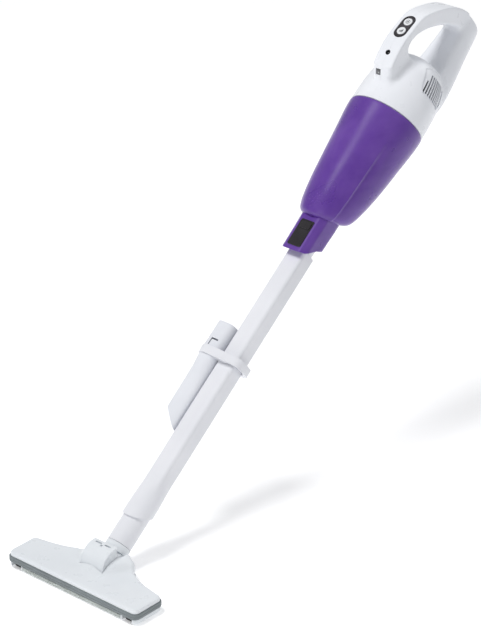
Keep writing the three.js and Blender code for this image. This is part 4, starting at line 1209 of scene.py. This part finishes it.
def elbow():
    """The part that tips in the head: a visor over the pivot and a round stub up to the tube."""
    low_turn, high_turn = 84, 178
    sector = [(PIVOT_Y + DRUM_R * math.cos(math.radians(a)),
               PIVOT_Z + DRUM_R * math.sin(math.radians(a)))
              for a in [low_turn + (high_turn - low_turn) * k / 36 for k in range(37)]]
    visor = pushed([*sector, (PIVOT_Y, PIVOT_Z)], -DRUM_HALF, DRUM_HALF, SIDE, rim=3.2, parts=6)
    hub = pin(15.5, -DRUM_HALF, DRUM_HALF, PIVOT_Y, PIVOT_Z, 96, rim=0.8)
    lean = UPRIGHT.inverted() @ STICK
    stub = rod(13.2, -16, 6.5, move=lean)
    collar = rod(17.2, -4, 6.5, rim=0.5, steps=96, move=lean)
    spigot = rod(12.9, 5, 24, rim=0.6, move=lean)
    part = merged(visor, hub, stub, collar, spigot)
    tools = [rod(10.6, -20, 30, move=lean), rod(10.6, -34, -18, 0, 4, move=lean),
             block(-11, 11, PIVOT_Y - 11, PIVOT_Y + 7, -10, PIVOT_Z - 5),
             pin(4.25, -DRUM_HALF - 1, -DRUM_HALF + 5.6, PIVOT_Y, PIVOT_Z),
             pin(4.25, DRUM_HALF - 5.6, DRUM_HALF + 1, PIVOT_Y, PIVOT_Z)]
    for x0, x1, turn in ((-13, -3, 96), (-2, 1, 103), (3, 13, 96)):
        spot = (Matrix.Translation((0, PIVOT_Y, PIVOT_Z))
                @ Matrix.Rotation(math.radians(turn - 90), 4, "X"))
        tools.append(block(x0, x1, -1.3, 1.3, DRUM_R - 4, DRUM_R + 2, move=spot))
    for tool in tools:
        carve(part, tool)
    finished(part, "tilting_elbow", UPRIGHT, "elbow", HEAD_WHITE, ["elbow"],
             sharp=34)


def floor_tube():
    outer = [(16.9, 6.9), (17.1, 7.2), (17.1, 58), (16.9, 60), (16.7, 92.8), (16.3, 93.8),
             (15.9, 94)]
    inner = [(15.0, 94), (13.4, 90.4), (13.4, 7.6), (13.8, 7)]
    tube = revolved([*outer, *inner, outer[0]], 120)
    finished(tube, "swivel_tube", STICK, "floor_tube", PIPE_WHITE,
             ["floor_tube"])


# ---- floor, light and camera ----
def floor_and_light():
    bm = bmesh.new()
    bmesh.ops.create_grid(bm, x_segments=1, y_segments=1, size=30)
    ground = body(bm, Matrix.Translation((0, 0, CAD_BOX[0].z - 0.0004)))
    ground.name = ground.data.name = "pale_floor"
    f = Finish("pale_paper")
    cloud = f.noise(3, 3)
    ground.data.materials.append(f.done(
        Base_Color=f.blend(f.range(cloud, 0.3, 0.7), tone(250, 250, 251), tone(253, 253, 253)),
        Roughness=f.range(cloud, 0.3, 0.7, 0.85, 0.95), Emission_Color=(1, 1, 1, 1),
        Emission_Strength=0.3))

    world = bpy.data.worlds.new("studio")
    world.use_nodes = True
    world.node_tree.nodes["Background"].inputs["Color"].default_value = (0.975, 0.985, 1.0, 1)
    world.node_tree.nodes["Background"].inputs["Strength"].default_value = 0.42
    SCENE.world = world
    for name, at, aim, size, power, colour in (
            ("key", (-0.55, -0.75, 3.2), (0, 0.4, 0.3), 1.0, 58, (1.0, 0.995, 0.985)),
            ("front", (0.9, -2.6, 1.1), (0, 0.4, 0.3), 1.8, 8, (0.97, 0.98, 1.0)),
            ("back", (0.4, 2.6, 2.2), (0, 0.5, 0.4), 1.8, 12, (0.97, 0.98, 1.0))):
        lamp = bpy.data.lights.new(name, "AREA")
        lamp.shape, lamp.size, lamp.energy, lamp.color = "DISK", size, power, colour
        obj = bpy.data.objects.new(name, lamp)
        obj.location = at
        obj.visible_glossy = name != "key"
        obj.rotation_euler = (Vector(aim) - Vector(at)).to_track_quat("-Z", "Y").to_euler()
        SCENE.collection.objects.link(obj)
    SCENE.view_settings.view_transform = "Standard"
    SCENE.view_settings.look = "None"


def camera():
    turn, rise = math.radians(41.16), math.radians(26.58)
    back = Vector((math.sin(turn) * math.cos(rise), -math.cos(turn) * math.cos(rise),
                   math.sin(rise)))
    right = Vector((math.cos(turn), math.sin(turn), 0))
    up = back.cross(right)
    aim = Vector((0, 0.440, 0.2988))
    eye = aim + back * 3.94515 + right * -0.08932 + up * -0.06629
    cam = bpy.data.cameras.new("camera")
    cam.sensor_width, cam.lens = 36, 168.24
    cam.clip_start, cam.clip_end = 0.1, 60
    obj = bpy.data.objects.new("camera", cam)
    SCENE.collection.objects.link(obj)
    obj.matrix_world = Matrix((
        (right.x, up.x, back.x, eye.x), (right.y, up.y, back.y, eye.y),
        (right.z, up.z, back.z, eye.z), (0, 0, 0, 1)))
    SCENE.camera = obj


camera()
floor_and_light()
housing()
vent_screens()
controls()
socket_and_lamp()
capsule()
wand()
clip()
crevice_tool()
floor_tube()
elbow()
head_cover()
sole()
lip_strip()
bumper()
sole_screws()
wheels()
